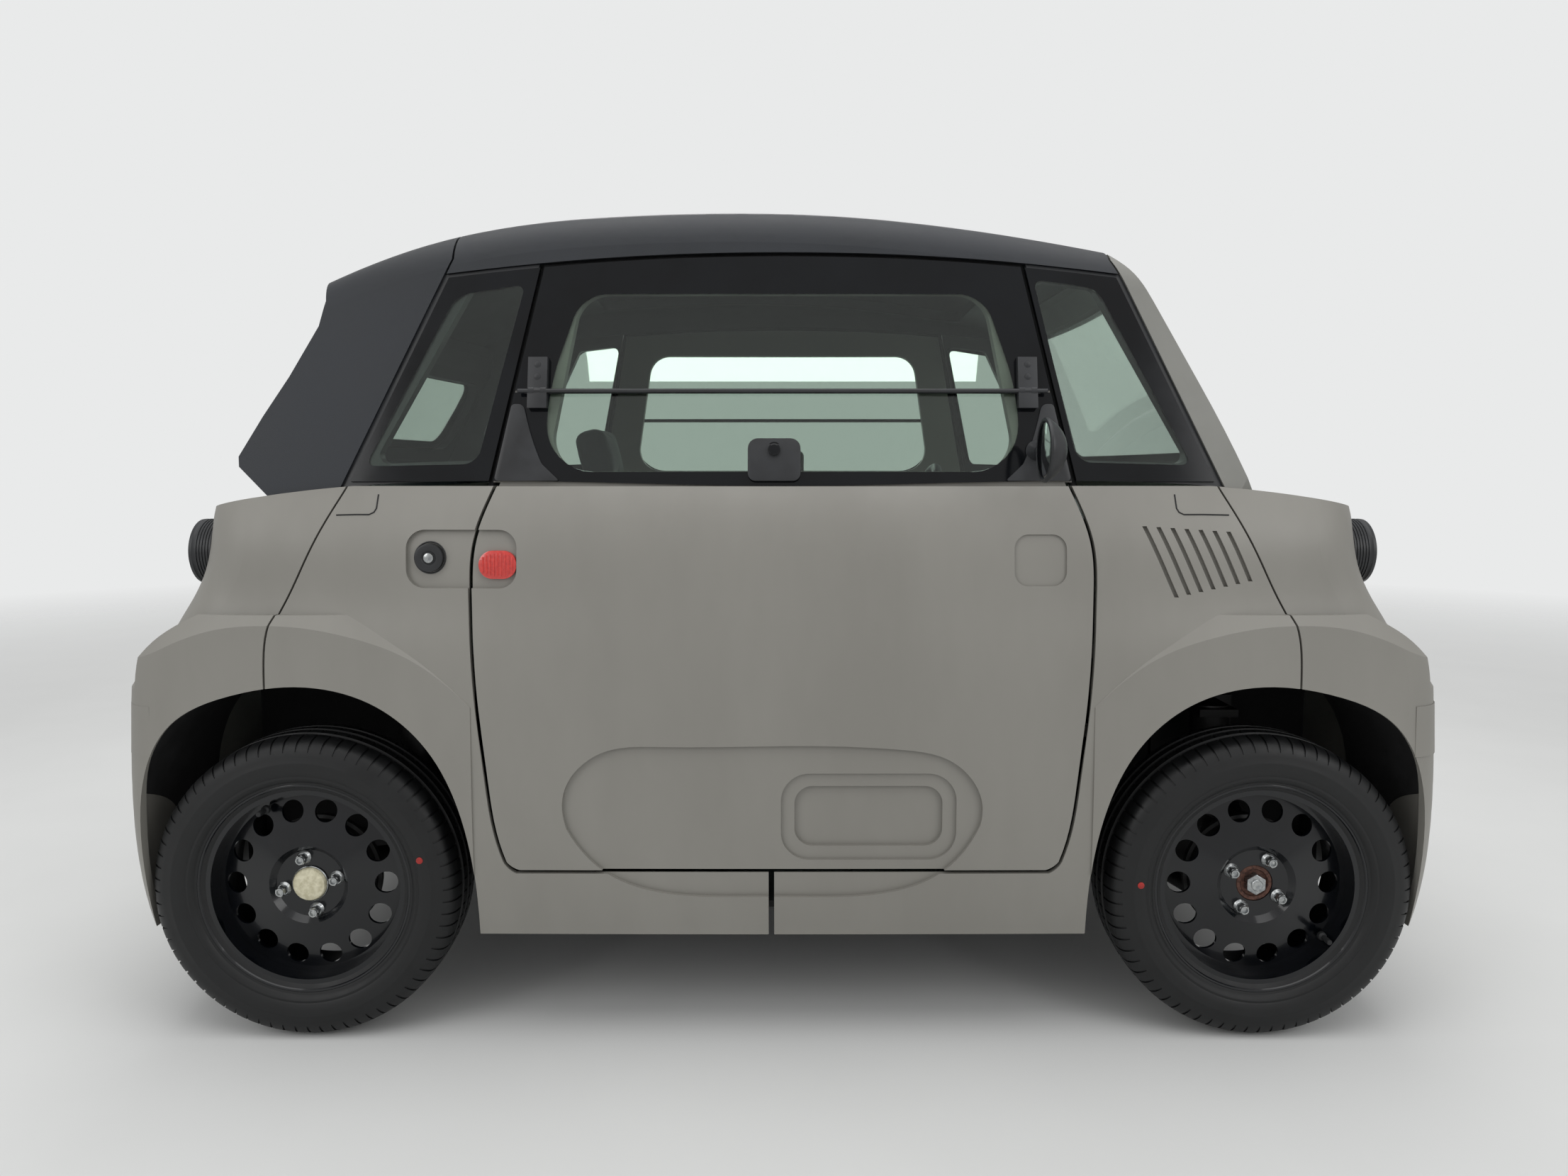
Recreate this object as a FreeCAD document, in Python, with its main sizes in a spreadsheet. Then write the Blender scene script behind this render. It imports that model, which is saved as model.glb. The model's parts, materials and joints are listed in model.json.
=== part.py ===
import FreeCAD, Part
import math
import os
import sys
import types
import Sketcher
from FreeCAD import Placement, Rotation, Vector

# A small two-seat electric car. The frame has +X forward, +Y to the left and +Z up,
# with the origin on the ground at mid-length. The lower body is the same turned half
# round about Z, so each left panel is the right one of the other end, turned.

SIZES = {
    # Overall
    "overall_length": 2410,
    "belt_height": 1005,
    "roof_height": 1526,
    "wheelbase": 1730,
    # Lower body, upper skin: half lengths and half widths at its levels
    "skin_half_long": 1180,
    "skin_half_wide": 690,
    "skin_foot_height": 200,
    "skin_corner_round": 112,
    "skin_nose_bow": 26,
    "skin_nose_top_bow": 110,
    "skin_side_bow": 14,
    "skin_shoulder_bow": 50,
    # Bumper and flare band that stands proud of the skin
    "band_half_wide": 693,
    "band_top_height": 735,
    "band_corner_round": 80,
    "band_crest_height": 747,
    "band_side_height": 640,
    "band_slope_reach": 34,
    "band_slope_spread": 58,
    "panel_wall": 14,
    "door_wall": 45,
    "deck_drop": 92,
    "deck_flat_half_long": 790,
    # Wheel arch
    "arch_fore_reach": 282,
    "arch_door_reach": 320,
    "arch_height": 653,
    "liner_wall": 5,
    "liner_inner_side": 352,
    "liner_fore_reach": 304,
    # Panel seams
    "door_half_long": 544,
    "door_bottom_height": 325,
    "door_gap": 6.5,
    "panel_gap": 4,
    "nose_seam_top": 780,
    "nose_seam_foot": 912,
    "sill_split_place": -20,
    "sill_split_gap": 10,
    # Greenhouse
    "house_half_wide": 625,
    "house_lean": 0.2,
    "house_end_bow": 18,
    "house_crown_bow": 16,
    "house_corner_round": 85,
    "house_wall": 30,
    "glass_thick": 5,
    "screen_bow_radius": 3160,
    "screen_round": 34,
    "roof_line_height": 1420,
    "header_place": 604,
    "quarter_foot_place": 790,
    "door_glass_top_half": 432,
    "door_glass_foot_half": 520,
    "pane_gap": 8,
    "clear_inset": 46,
    "hinge_line_height": 1175,
    "rear_window_foot": 1062,
    "rear_window_head": 1310,
    "rear_window_margin": 30,
    # Wheels
    "tyre_radius": 278.5,
    "tyre_width": 156,
    "wheel_plane_side": 590,
    "rim_flange_radius": 194,
    "rim_barrel_radius": 172,
    "rim_width": 128,
    "rim_wall": 5,
    "disc_face_out": 36,
    "disc_thick": 6,
    "disc_hole_radius": 20,
    "disc_hole_circle": 137,
    "disc_hole_count": 14,
    "hub_radius": 62,
    "hub_length": 58,
    "hub_bore_radius": 33.5,
    "hub_bore_deep": 12,
    "bolt_circle": 50,
    "bolt_radius": 8,
    # Front knuckle
    "kingpin_side": 550,
    "kingpin_radius": 11,
    "knuckle_height": 150,
    "knuckle_long": 70,
    "knuckle_thick": 30,
    "run_clearance": 6,
    "seat_clearance": 0.3,
    "roof_seat_gap": 0.9,
    "sweep_clearance": 5,
    # Chassis
    "rail_side": 262,
    "rail_width": 50,
    "rail_height": 80,
    "rail_bottom_height": 170,
    "cross_height": 60,
    "bumper_beam_height": 340,
    "bumper_beam_tall": 60,
    "bumper_beam_half": 345,
    "rail_half_long": 1120,
    "cross_width": 60,
    # Door hinges
    "door_hinge_ahead": 41,
    "door_hinge_in": 21,
    "door_hinge_low": 560,
    "door_hinge_high": 705,
    "door_pin_radius": 4,
    "door_pin_half": 20,
    "door_eye_radius": 6.5,
    "door_eye_half": 12,
    "door_strap_thick": 5,
    "door_neck_drop": 58,
    "door_neck_reach": 85,
    "door_pocket_deep": 8,
    "door_pocket_reach": 34,
    "door_lip": 6,
    "door_set_back": 12,
    "door_post_gap": 11,
    "door_post_long": 26,
    "door_post_wide": 29,
    "door_post_over": 28,
    # Recesses in the panels
    "recess_deep": 8,
    "recess_round": 32,
    "pad_deep": 4,
    "pad_round": 25,
    "catch_recess_aft": 661,
    "catch_recess_fore": 465,
    "catch_recess_low": 827,
    "catch_recess_high": 929,
    "pad_recess_aft": 405,
    "pad_recess_fore": 497,
    "pad_recess_low": 831,
    "pad_recess_high": 921,
    "speaker_aft": -3,
    "speaker_fore": 308,
    "speaker_low": 342,
    "speaker_high": 499,
    "speaker_rim": 24,
    "speaker_round": 50,
    "speaker_deep": 14,
    "speaker_floor_deep": 22,
    "vent_count": 7,
    "vent_wide": 8,
    "vent_pitch": 25,
    "vent_place": 632,
    "vent_top_height": 935,
    "vent_tall": 125,
    "vent_lean": 57,
    "floor_thick": 12,
    "tub_wall": 8,
    "tub_well_reach": 760,
    "tub_well_side": 345,
    "battery_long": 620,
    "battery_wide": 420,
    "battery_tall": 70,
    "motor_long": 250,
    "motor_wide": 330,
    "motor_tall": 230,
    "shelf_height": 690,
    # Lamps, wiper, mirrors, openers
    "lamp_height": 880,
    "lamp_side": 500,
    "lamp_radius": 60,
    "lamp_depth": 75,
    "lamp_face_place": 1098,
    "lamp_wall": 12,
    "lamp_lens_thick": 12,
    "opener_place": 620,
    "opener_height": 880,
    "opener_radius": 25,
    "opener_depth": 20,
    "mirror_place": 443,
    "mirror_height": 1067,
    "mirror_side": 720,
    "mirror_radius": 55,
    "mirror_depth": 36,
    "mirror_arm_radius": 8,
    "window_hinge_long": 35,
    "window_hinge_tall": 92,
    "window_hinge_thick": 15,
    "window_hinge_place": 440,
    "window_rod_radius": 4,
    # Cabin
    "seat_side": 285,
    "seat_width": 400,
    "seat_depth": 430,
    "seat_height": 500,
    "seat_cushion_thick": 120,
    "seat_back_tall": 560,
    "seat_back_thick": 90,
    "seat_back_lean": 14,
    "driver_seat_place": -150,
    "passenger_seat_place": -225,
    "headrest_wide": 230,
    "headrest_tall": 160,
    "dash_place": 560,
    "dash_top_height": 960,
    "dash_drop": 240,
    "wheel_rim_radius": 172,
    "wheel_rim_thick": 13,
    "wheel_rim_place": 330,
    "wheel_rim_height": 880,
    "wheel_tilt": 24,
    "column_radius": 18,
    "column_long": 260,
    "pedal_place": 640,
    # Suspension
    "arm_radius": 15,
    "damper_radius": 18,
    "spring_radius": 38,
    "damper_top_height": 560,
    "damper_side": 430,
    "beam_radius": 24,
    "cut_over": 40,
}

doc = FreeCAD.newDocument("microcar")
sheet = doc.addObject("Spreadsheet::Sheet", "Sizes")
for row, (name, value) in enumerate(SIZES.items(), start=1):
    sheet.set("A%d" % row, name)
    sheet.set("B%d" % row, str(value))
    sheet.setAlias("B%d" % row, name)
doc.recompute()
d = types.SimpleNamespace(**{name: float(sheet.get(name)) for name in SIZES})

half_long = d.overall_length / 2
axle = d.wheelbase / 2
axle_height = d.tyre_radius
nodes = []


# Drawing helpers

def on_xz(x, z, y=0):
    return Vector(x, y, z)


def polygon(points):
    return Part.Face(Part.makePolygon(list(points) + [points[0]]))


def rounded_wire(points, radius):
    """Closed polygon with every corner rounded, as straight runs and tangent arcs."""
    edges = []
    starts = []
    ends = []
    middles = []
    count = len(points)
    for i in range(count):
        corner = points[i]
        back = (points[i - 1] - corner).normalize()
        ahead = (points[(i + 1) % count] - corner).normalize()
        half = back.getAngle(ahead) / 2
        reach = radius / math.tan(half)
        bisector = (back + ahead).normalize()
        starts.append(corner + back * reach)
        ends.append(corner + ahead * reach)
        middles.append(corner + bisector * (radius / math.sin(half) - radius))
    for i in range(count):
        edges.append(Part.Arc(starts[i], middles[i], ends[i]).toShape())
        edges.append(Part.LineSegment(ends[i], starts[(i + 1) % count]).toShape())
    return Part.Wire(edges)


def rounded_face(points, radius):
    return Part.Face(rounded_wire(points, radius))


def spline(points):
    curve = Part.BSplineCurve()
    curve.interpolate(points)
    return curve.toShape()


def spline_face(curved, straight):
    """Face closed by a spline through the curved points and straight runs back."""
    edges = [spline(curved)]
    chain = [curved[-1]] + list(straight) + [curved[0]]
    for start, end in zip(chain, chain[1:]):
        edges.append(Part.LineSegment(start, end).toShape())
    return Part.Face(Part.Wire(edges))


def along_y(face, y_from, y_to):
    moved = face.translated(Vector(0, y_from, 0))
    return moved.extrude(Vector(0, y_to - y_from, 0))


def along_x(face, x_from, x_to):
    moved = face.translated(Vector(x_from, 0, 0))
    return moved.extrude(Vector(x_to - x_from, 0, 0))


def along_z(face, z_from, z_to):
    moved = face.translated(Vector(0, 0, z_from))
    return moved.extrude(Vector(0, 0, z_to - z_from))


def turned(shape, angle=180, centre=Vector(0, 0, 0), axis=Vector(0, 0, 1)):
    return shape.rotated(centre, axis, angle)


def mirrored_y(shape):
    return shape.mirror(Vector(0, 0, 0), Vector(0, 1, 0))


def block(x_from, x_to, y_from, y_to, z_from, z_to):
    return Part.makeBox(x_to - x_from, y_to - y_from, z_to - z_from, Vector(x_from, y_from, z_from))


def rod(start, end, radius):
    run = end - start
    return Part.makeCylinder(radius, run.Length, start, run)


def joined(shapes):
    first = shapes[0]
    if len(shapes) > 1:
        first = first.fuse(shapes[1:])
    return first.removeSplitter()


def together(shapes):
    return Part.makeCompound(shapes)


def feature(name, shape):
    """A sub-part whose shape is worked out from the sheet by the functions above."""
    made = doc.addObject("Part::Feature", name)
    made.Label = name
    made.Shape = shape
    made.Placement = shape.Placement
    nodes.append(made)
    return made


# Lower body surfaces

SKIN_LONG_SHARES = [
    # height over the foot, then the share of the half length there
    (0.00, 0.990), (0.15, 0.997), (0.32, 1.000), (0.54, 0.993), (0.665, 0.982), (0.765, 0.965),
    (0.855, 0.958), (0.92, 0.954), (1.00, 0.942),
]
SKIN_WIDE_SHARES = [
    (0.00, 0.968), (0.15, 0.994), (0.32, 1.000), (0.54, 1.000), (0.665, 0.998), (0.765, 0.992),
    (0.855, 0.984), (0.92, 0.968), (0.965, 0.944), (1.00, 0.920),
]
SKIN_BOW_SHARES = [(0.00, 0.00), (0.32, 0.00), (0.54, 0.12), (0.665, 0.70), (0.765, 1.00), (0.855, 0.96),
                   (0.92, 0.84), (1.00, 0.55)]
NOSE_BOW_SHARES = [(0.00, 0.00), (0.32, 0.00), (0.54, 0.05), (0.665, 0.38), (0.765, 0.70), (0.855, 1.00),
                   (1.00, 1.00)]
BAND_LONG_SHARES = [(0.00, 0.986), (0.15, 0.997), (0.32, 1.000), (0.72, 1.000)]
BAND_WIDE_SHARES = [(0.00, 0.967), (0.15, 0.993), (0.32, 1.000), (0.72, 1.000)]
BUMPER_LONG_SHARES = [(0.00, 0.986), (0.15, 0.997), (0.32, 1.000), (0.545, 1.000), (0.665, 0.963),
                      (0.72, 0.957)]
BUMPER_WIDE_SHARES = [(0.00, 0.967), (0.15, 0.993), (0.32, 1.000), (0.545, 1.000), (0.665, 0.950),
                      (0.72, 0.935)]
SKIN_LEVEL_COUNT = 12
BAND_LEVEL_COUNT = 13


def read_curve(shares, at):
    """Value of the smooth curve through the shares, at the given share along it."""
    curve = spline([Vector(first, second, 0) for first, second in shares])
    dense = curve.discretize(len(shares) * 30)
    for first, second in zip(dense, dense[1:]):
        if at <= second.x:
            part = (at - first.x) / (second.x - first.x)
            return first.y + (second.y - first.y) * max(0, part)
    return dense[-1].y


def even_steps(first, last, count):
    return [first + (last - first) * step / (count - 1) for step in range(count)]


def circle_meeting(first, first_radius, second, second_radius, outward):
    """Crossing point of two circles, on the side that the outward direction names."""
    gap = second - first
    away = gap.Length
    along = (first_radius ** 2 - second_radius ** 2 + away ** 2) / (2 * away)
    rise = math.sqrt(first_radius ** 2 - along ** 2)
    foot = first + gap * (along / away)
    side = Vector(-gap.y, gap.x, 0).normalize()
    if side.dot(outward) < 0:
        side = side * -1
    return foot + side * rise


def plan_ring(height, long_half, wide_half, nose_bow, side_bow, corner, inset):
    """Plan section: bowed ends and sides with round corners, set in by the inset."""
    nose_radius = (wide_half ** 2 + nose_bow ** 2) / (2 * nose_bow)
    side_radius = (long_half ** 2 + side_bow ** 2) / (2 * side_bow)
    nose_centre = Vector(long_half - nose_radius, 0, 0)
    side_centre = Vector(0, side_radius - wide_half, 0)
    corner_centre = circle_meeting(nose_centre, nose_radius - corner,
                                   side_centre, side_radius - corner, Vector(1, -1, 0))
    nose_touch = nose_centre + (corner_centre - nose_centre).normalize() * (nose_radius - inset)
    side_touch = side_centre + (corner_centre - side_centre).normalize() * (side_radius - inset)
    corner_mid_way = ((nose_touch - corner_centre) + (side_touch - corner_centre)).normalize()
    corner_mid = corner_centre + corner_mid_way * (corner - inset)
    nose_mid = Vector(long_half - inset, 0, 0)
    side_mid = Vector(0, inset - wide_half, 0)

    def placed(point, x_sign, y_sign):
        return Vector(point.x * x_sign, point.y * y_sign, height)

    def arc(start, middle, end):
        return Part.Arc(start, middle, end).toShape()

    edges = [
        arc(placed(side_touch, -1, 1), placed(side_mid, 1, 1), placed(side_touch, 1, 1)),
        arc(placed(side_touch, 1, 1), placed(corner_mid, 1, 1), placed(nose_touch, 1, 1)),
        arc(placed(nose_touch, 1, 1), placed(nose_mid, 1, 1), placed(nose_touch, 1, -1)),
        arc(placed(nose_touch, 1, -1), placed(corner_mid, 1, -1), placed(side_touch, 1, -1)),
        arc(placed(side_touch, 1, -1), placed(side_mid, 1, -1), placed(side_touch, -1, -1)),
        arc(placed(side_touch, -1, -1), placed(corner_mid, -1, -1), placed(nose_touch, -1, -1)),
        arc(placed(nose_touch, -1, -1), placed(nose_mid, -1, 1), placed(nose_touch, -1, 1)),
        arc(placed(nose_touch, -1, 1), placed(corner_mid, -1, 1), placed(side_touch, -1, 1)),
    ]
    return Part.Wire(edges)


def skin_ring_sizes(up):
    """Half length, half width and side bow of the skin at a share of its height."""
    bow_share = read_curve(SKIN_BOW_SHARES, up)
    bow = d.skin_side_bow + (d.skin_shoulder_bow - d.skin_side_bow) * bow_share
    return (d.skin_half_long * read_curve(SKIN_LONG_SHARES, up),
            d.skin_half_wide * read_curve(SKIN_WIDE_SHARES, up), bow)


def nose_bow_at(up):
    """Bow of the ends in plan, which grows from the bumper to the lamps."""
    return d.skin_nose_bow + (d.skin_nose_top_bow - d.skin_nose_bow) * read_curve(NOSE_BOW_SHARES, up)


def skin_solid(inset):
    rings = []
    for up in even_steps(0, 1, SKIN_LEVEL_COUNT):
        long_half, wide_half, bow = skin_ring_sizes(up)
        rings.append(plan_ring(d.skin_foot_height + (d.belt_height - d.skin_foot_height) * up,
                               long_half, wide_half, nose_bow_at(up), bow, d.skin_corner_round, inset))
    return Part.makeLoft(rings, True, False)


def band_solid(inset, long_shares, wide_shares):
    """Surface round the wheels and the ends, its size at each level read from the shares."""
    rings = []
    for up in even_steps(0, long_shares[-1][0], BAND_LEVEL_COUNT):
        rings.append(plan_ring(d.skin_foot_height + (d.belt_height - d.skin_foot_height) * up,
                               half_long * read_curve(long_shares, up),
                               d.band_half_wide * read_curve(wide_shares, up),
                               nose_bow_at(up), d.skin_side_bow, d.band_corner_round, inset))
    return Part.makeLoft(rings, True, False)


def bumper_solid(inset):
    """The band with an edge round its ends, above which it slopes in to the skin."""
    straight = band_solid(inset, BAND_LONG_SHARES, BAND_WIDE_SHARES)
    return straight.common(band_solid(inset, BUMPER_LONG_SHARES, BUMPER_WIDE_SHARES))


def deck_prism(drop):
    """All that lies under the hood, belt and tail deck, lowered by the drop."""
    top = d.belt_height
    reach = half_long + d.cut_over
    edge = d.deck_flat_half_long
    points = [on_xz(-reach, top - d.deck_drop), on_xz(-(edge + reach) / 2, top - d.deck_drop * 0.36),
              on_xz(-edge, top - d.deck_drop * 0.02), on_xz(0, top),
              on_xz(edge, top - d.deck_drop * 0.02),
              on_xz((edge + reach) / 2, top - d.deck_drop * 0.36), on_xz(reach, top - d.deck_drop)]
    points = [point - Vector(0, 0, drop) for point in points]
    face = spline_face(points, [on_xz(reach, 0), on_xz(-reach, 0)])
    return along_y(face, -half_long, half_long)


# Side outlines, drawn for the right side

ARCH_SHARES = [
    # along: share of the reach to the nose (plus) or to the door (minus); up: share of the height
    (-1.000, 0.296), (-0.997, 0.446), (-0.925, 0.652), (-0.750, 0.830), (-0.444, 0.956),
    (-0.106, 1.000), (0.390, 0.975), (0.762, 0.896), (0.950, 0.745), (1.000, 0.590), (1.000, 0.296),
]


def arch_outline(grow, fore_reach):
    points = []
    for along, up in ARCH_SHARES:
        reach = (fore_reach if along > 0 else d.arch_door_reach) + grow
        points.append(on_xz(axle + along * reach, up * (d.arch_height + grow)))
    return points


def arch_prism(grow, fore_reach, y_from, y_to):
    points = arch_outline(grow, fore_reach)
    feet = [on_xz(points[-1].x, -d.cut_over), on_xz(points[0].x, -d.cut_over)]
    return along_y(spline_face(points, feet), y_from, y_to)


DOOR_EDGE_SHARES = [
    # along: share of the door's half length; up: share of the way from its foot to the belt
    (0.900, 0.022), (0.928, 0.096), (0.957, 0.257), (0.983, 0.449), (0.993, 0.574),
    (1.000, 0.699), (1.000, 0.787), (0.989, 0.860), (0.956, 0.949), (0.922, 1.030),
]


def door_prism(grow, y_from, y_to):
    tall = d.belt_height - d.door_bottom_height
    right = []
    for along, up in DOOR_EDGE_SHARES:
        right.append(on_xz(d.door_half_long * along + grow, d.door_bottom_height + tall * up))
    left = [Vector(-point.x, 0, point.z) for point in right]
    foot = d.door_bottom_height - grow
    foot_half = right[0].x - d.skin_corner_round * 0.2
    lift = [on_xz(foot_half, foot), on_xz(-foot_half, foot)]
    edges = [spline(right),
             Part.LineSegment(right[-1], left[-1]).toShape(),
             spline(list(reversed(left))),
             Part.Arc(left[0], on_xz(-(foot_half + left[0].x * -1) / 2, (foot * 2 + left[0].z) / 3),
                      lift[1]).toShape(),
             Part.LineSegment(lift[1], lift[0]).toShape(),
             Part.Arc(lift[0], on_xz((foot_half + right[0].x) / 2, (foot * 2 + right[0].z) / 3),
                      right[0]).toShape()]
    return along_y(Part.Face(Part.Wire(edges)), y_from, y_to)


NOSE_SEAM_SHARES = [(0.00, 1.00), (0.26, 0.81), (0.52, 0.62), (0.77, 0.44), (0.93, 0.31), (0.99, 0.18),
                    (1.00, 0.00)]


def nose_prism(grow):
    """All that lies ahead of the seam between a fender and the nose panel."""
    top = d.belt_height
    foot = d.band_side_height
    run = d.nose_seam_foot - d.nose_seam_top
    points = []
    for along, up in NOSE_SEAM_SHARES:
        points.append(on_xz(d.nose_seam_top + run * along - grow, foot + (top - foot) * up))
    reach = half_long + d.cut_over
    face = spline_face(points, [on_xz(points[-1].x, -d.cut_over), on_xz(reach, -d.cut_over),
                                on_xz(reach, top + d.cut_over), on_xz(points[0].x, top + d.cut_over)])
    return along_y(face, -half_long, half_long)


FLARE_SHARES = [
    # along: share of the way from the door's edge to the nose; up: from the side height to the crest;
    # then the share of the slope's spread there
    (0.00, -0.25, 0.5), (0.07, 0.13, 0.7), (0.14, 0.42, 0.9), (0.22, 0.65, 1.0), (0.32, 0.84, 1.0),
    (0.43, 0.97, 1.0), (0.54, 1.00, 1.0), (0.67, 0.91, 1.0), (0.78, 0.69, 0.9), (0.86, 0.43, 0.8),
    (0.93, 0.02, 0.7), (1.10, -0.90, 0.6),
]


def flare_prism(side):
    """Band below the crease of the wheel flares, its top sloping inward on the right side."""
    start = d.door_half_long + d.panel_gap
    run = half_long - start
    rise = d.band_crest_height - d.band_side_height

    def outline(spread, y):
        crease = []
        for along, up, widening in FLARE_SHARES:
            crease.append(Vector(start + run * along, y, d.band_side_height + rise * up + spread * widening))
        low = d.skin_foot_height - d.cut_over
        edges = [spline(crease)]
        chain = [crease[-1], Vector(crease[-1].x, y, low), Vector(start, y, low), crease[0]]
        for first, second in zip(chain, chain[1:]):
            edges.append(Part.LineSegment(first, second).toShape())
        return Part.Wire(edges)

    outer = outline(0, -d.band_half_wide)
    inner = outline(d.band_slope_spread, d.band_slope_reach - d.band_half_wide)
    wedge = Part.makeLoft([outer, inner], True, True)
    outside = Part.Face(outer).extrude(Vector(0, -d.cut_over, 0))
    return joined([wedge, outside]) if side < 0 else mirrored_y(joined([wedge, outside]))


# Lower body solids

skin_outer = skin_solid(0).common(deck_prism(0))
skin_thin = skin_solid(d.panel_wall).common(deck_prism(d.panel_wall))
skin_thick = skin_solid(d.door_wall)
band_outer = band_solid(0, BAND_LONG_SHARES, BAND_WIDE_SHARES)
bumper_outer = bumper_solid(0)
bumper_thin = bumper_solid(d.panel_wall)
fit_skin = skin_solid(d.panel_wall + d.seat_clearance).common(deck_prism(d.panel_wall + d.seat_clearance))
fit_band = bumper_solid(d.panel_wall + d.seat_clearance)
band_cap = block(-half_long * 2, half_long * 2, -half_long, half_long, 0, d.band_top_height)
fit_cap = block(-half_long * 2, half_long * 2, -half_long, half_long, 0,
                d.band_top_height - d.panel_wall - d.seat_clearance)
thin_cap = block(-half_long * 2, half_long * 2, -half_long, half_long, 0,
                 d.band_top_height - d.panel_wall)
far_side = half_long


def hollowed(solid):
    """The panel shell left of a lower body solid once both inner surfaces are cut."""
    return solid.cut([skin_thin, bumper_thin.common(thin_cap), low_cut])


low_cut = block(-half_long * 2, half_long * 2, -half_long, half_long, -d.cut_over,
                d.skin_foot_height)
TYRE_SHOULDER_SHARE = 0.90
TYRE_SHOULDER_WIDE_SHARE = 0.86
shoulder_side = d.wheel_plane_side - d.kingpin_side + d.tyre_width / 2 * TYRE_SHOULDER_WIDE_SHARE
shoulder_radius = d.rim_barrel_radius + (d.tyre_radius - d.rim_barrel_radius) * TYRE_SHOULDER_SHARE
sweep_radius = math.hypot(shoulder_side, shoulder_radius) + d.sweep_clearance
tyre_sweeps = [Part.makeSphere(sweep_radius, Vector(axle, side * d.kingpin_side, axle_height))
               for side in (-1, 1)]


def make_nose():
    region = nose_prism(0)
    skin_part = skin_outer.common(region)
    band_part = bumper_outer.common(region).common(band_cap)
    flares = band_outer.common(region).common(joined([flare_prism(-1), flare_prism(1)]))
    solid = joined([skin_part, band_part, flares])
    shell = hollowed(solid)
    arches = [arch_prism(0, d.arch_fore_reach, -far_side, -d.liner_inner_side),
              arch_prism(0, d.arch_fore_reach, d.liner_inner_side, far_side)]
    return shell.cut(arches + tyre_sweeps)


def fender_region(middle):
    """Right side between the nose seam and the middle of the sill, outside the door."""
    keep = block(middle, half_long, -far_side, 0, 0, d.belt_height)
    return keep.cut([nose_prism(d.panel_gap), door_prism(d.door_gap, -far_side, 0)])


def make_fender(middle):
    """Front right fender with its half of the sill, from the middle place forward."""
    region = fender_region(middle)
    flare = band_outer.common(flare_prism(-1))
    solid = skin_outer.fuse(flare).common(region)
    shell = hollowed(solid)
    shell = shell.cut(arch_prism(0, d.arch_fore_reach, -far_side, -d.liner_inner_side))
    return shell


def make_lower_door():
    """Lower door with a thin lip at its hinge edge, the inner part of that edge set back."""
    outline = door_prism(0, -far_side, 0)
    whole = skin_outer.common(outline).cut(skin_thick)
    edge = skin_solid(d.door_lip).cut(outline.translated(Vector(-d.door_set_back, 0, 0)))
    return whole.cut(edge)


def recess_tool(points, radius, deep_skin):
    """All that lies outside the deeper skin within an outline on the right side."""
    face = rounded_face(points, radius) if radius else polygon(points)
    return along_y(face, -far_side, 0).cut(deep_skin)


def upright_outline(aft, fore, low, high):
    return [on_xz(aft, low), on_xz(fore, low), on_xz(fore, high), on_xz(aft, high)]


recess_skin = skin_solid(d.recess_deep)
speaker_skin = skin_solid(d.speaker_deep)
catch_recess = recess_tool(upright_outline(-d.catch_recess_aft, -d.catch_recess_fore, d.catch_recess_low,
                                           d.catch_recess_high), d.recess_round, recess_skin)
pad_recess = recess_tool(upright_outline(d.pad_recess_aft, d.pad_recess_fore, d.pad_recess_low,
                                         d.pad_recess_high), d.pad_round, skin_solid(d.pad_deep))
speaker_recess = recess_tool(upright_outline(d.speaker_aft, d.speaker_fore, d.speaker_low, d.speaker_high),
                             d.speaker_round, speaker_skin)
speaker_inner = recess_tool(upright_outline(d.speaker_aft + d.speaker_rim, d.speaker_fore - d.speaker_rim,
                                            d.speaker_low + d.speaker_rim, d.speaker_high - d.speaker_rim),
                            d.recess_round, skin_solid(d.speaker_floor_deep))
INSET_TOP_SHARES = [
    # along: share of the door's half length; up: share of the way from its foot to the belt
    (-0.702, 0.110), (-0.665, 0.269), (-0.588, 0.312), (-0.393, 0.329), (0.057, 0.332), (0.381, 0.322),
    (0.548, 0.290), (0.627, 0.226), (0.642, 0.121),
]
INSET_FOOT_SHARES = [(0.642, 0.121), (0.520, -0.005), (-0.030, -0.074), (-0.580, -0.005), (-0.702, 0.110)]


def inset_edge(shares):
    tall = d.belt_height - d.door_bottom_height
    return spline([on_xz(d.door_half_long * along, d.door_bottom_height + tall * up) for along, up in shares])


inset_face = Part.Face(Part.Wire([inset_edge(INSET_TOP_SHARES), inset_edge(INSET_FOOT_SHARES)]))
side_inset = along_y(inset_face, -far_side, 0).cut(recess_skin)


# Door hinges: eyes on the door's straps turn on pins that stand on a post behind the fender

hinge_place = d.door_half_long + d.door_hinge_ahead
hinge_side = d.skin_half_wide - d.door_hinge_in
hinge_heights = (d.door_hinge_low, d.door_hinge_high)
strap_half = d.door_strap_thick / 2


def hinge_rod(z_from, z_to, radius):
    return rod(Vector(hinge_place, -hinge_side, z_from), Vector(hinge_place, -hinge_side, z_to), radius)


def make_neck(height):
    """Eye round the pin, its strap leading inward behind the fender and back out to the door."""
    low = height - d.door_eye_half
    high = height + d.door_eye_half
    inner = d.door_neck_drop - hinge_side
    foot = hinge_place - d.door_neck_reach
    eye = hinge_rod(low, high, d.door_eye_radius)
    inward = block(hinge_place - strap_half, hinge_place + strap_half, -hinge_side, inner + strap_half,
                   low, high)
    back = block(foot - strap_half, hinge_place + strap_half, inner - strap_half, inner + strap_half,
                 low, high)
    outward = block(foot - strap_half, foot + strap_half, d.door_hinge_in - hinge_side,
                    inner + strap_half, low, high)
    bore = hinge_rod(low - d.door_pin_half, high + d.door_pin_half, d.door_pin_radius + d.seat_clearance)
    return joined([eye, inward, back, outward]).cut(bore)


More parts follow.
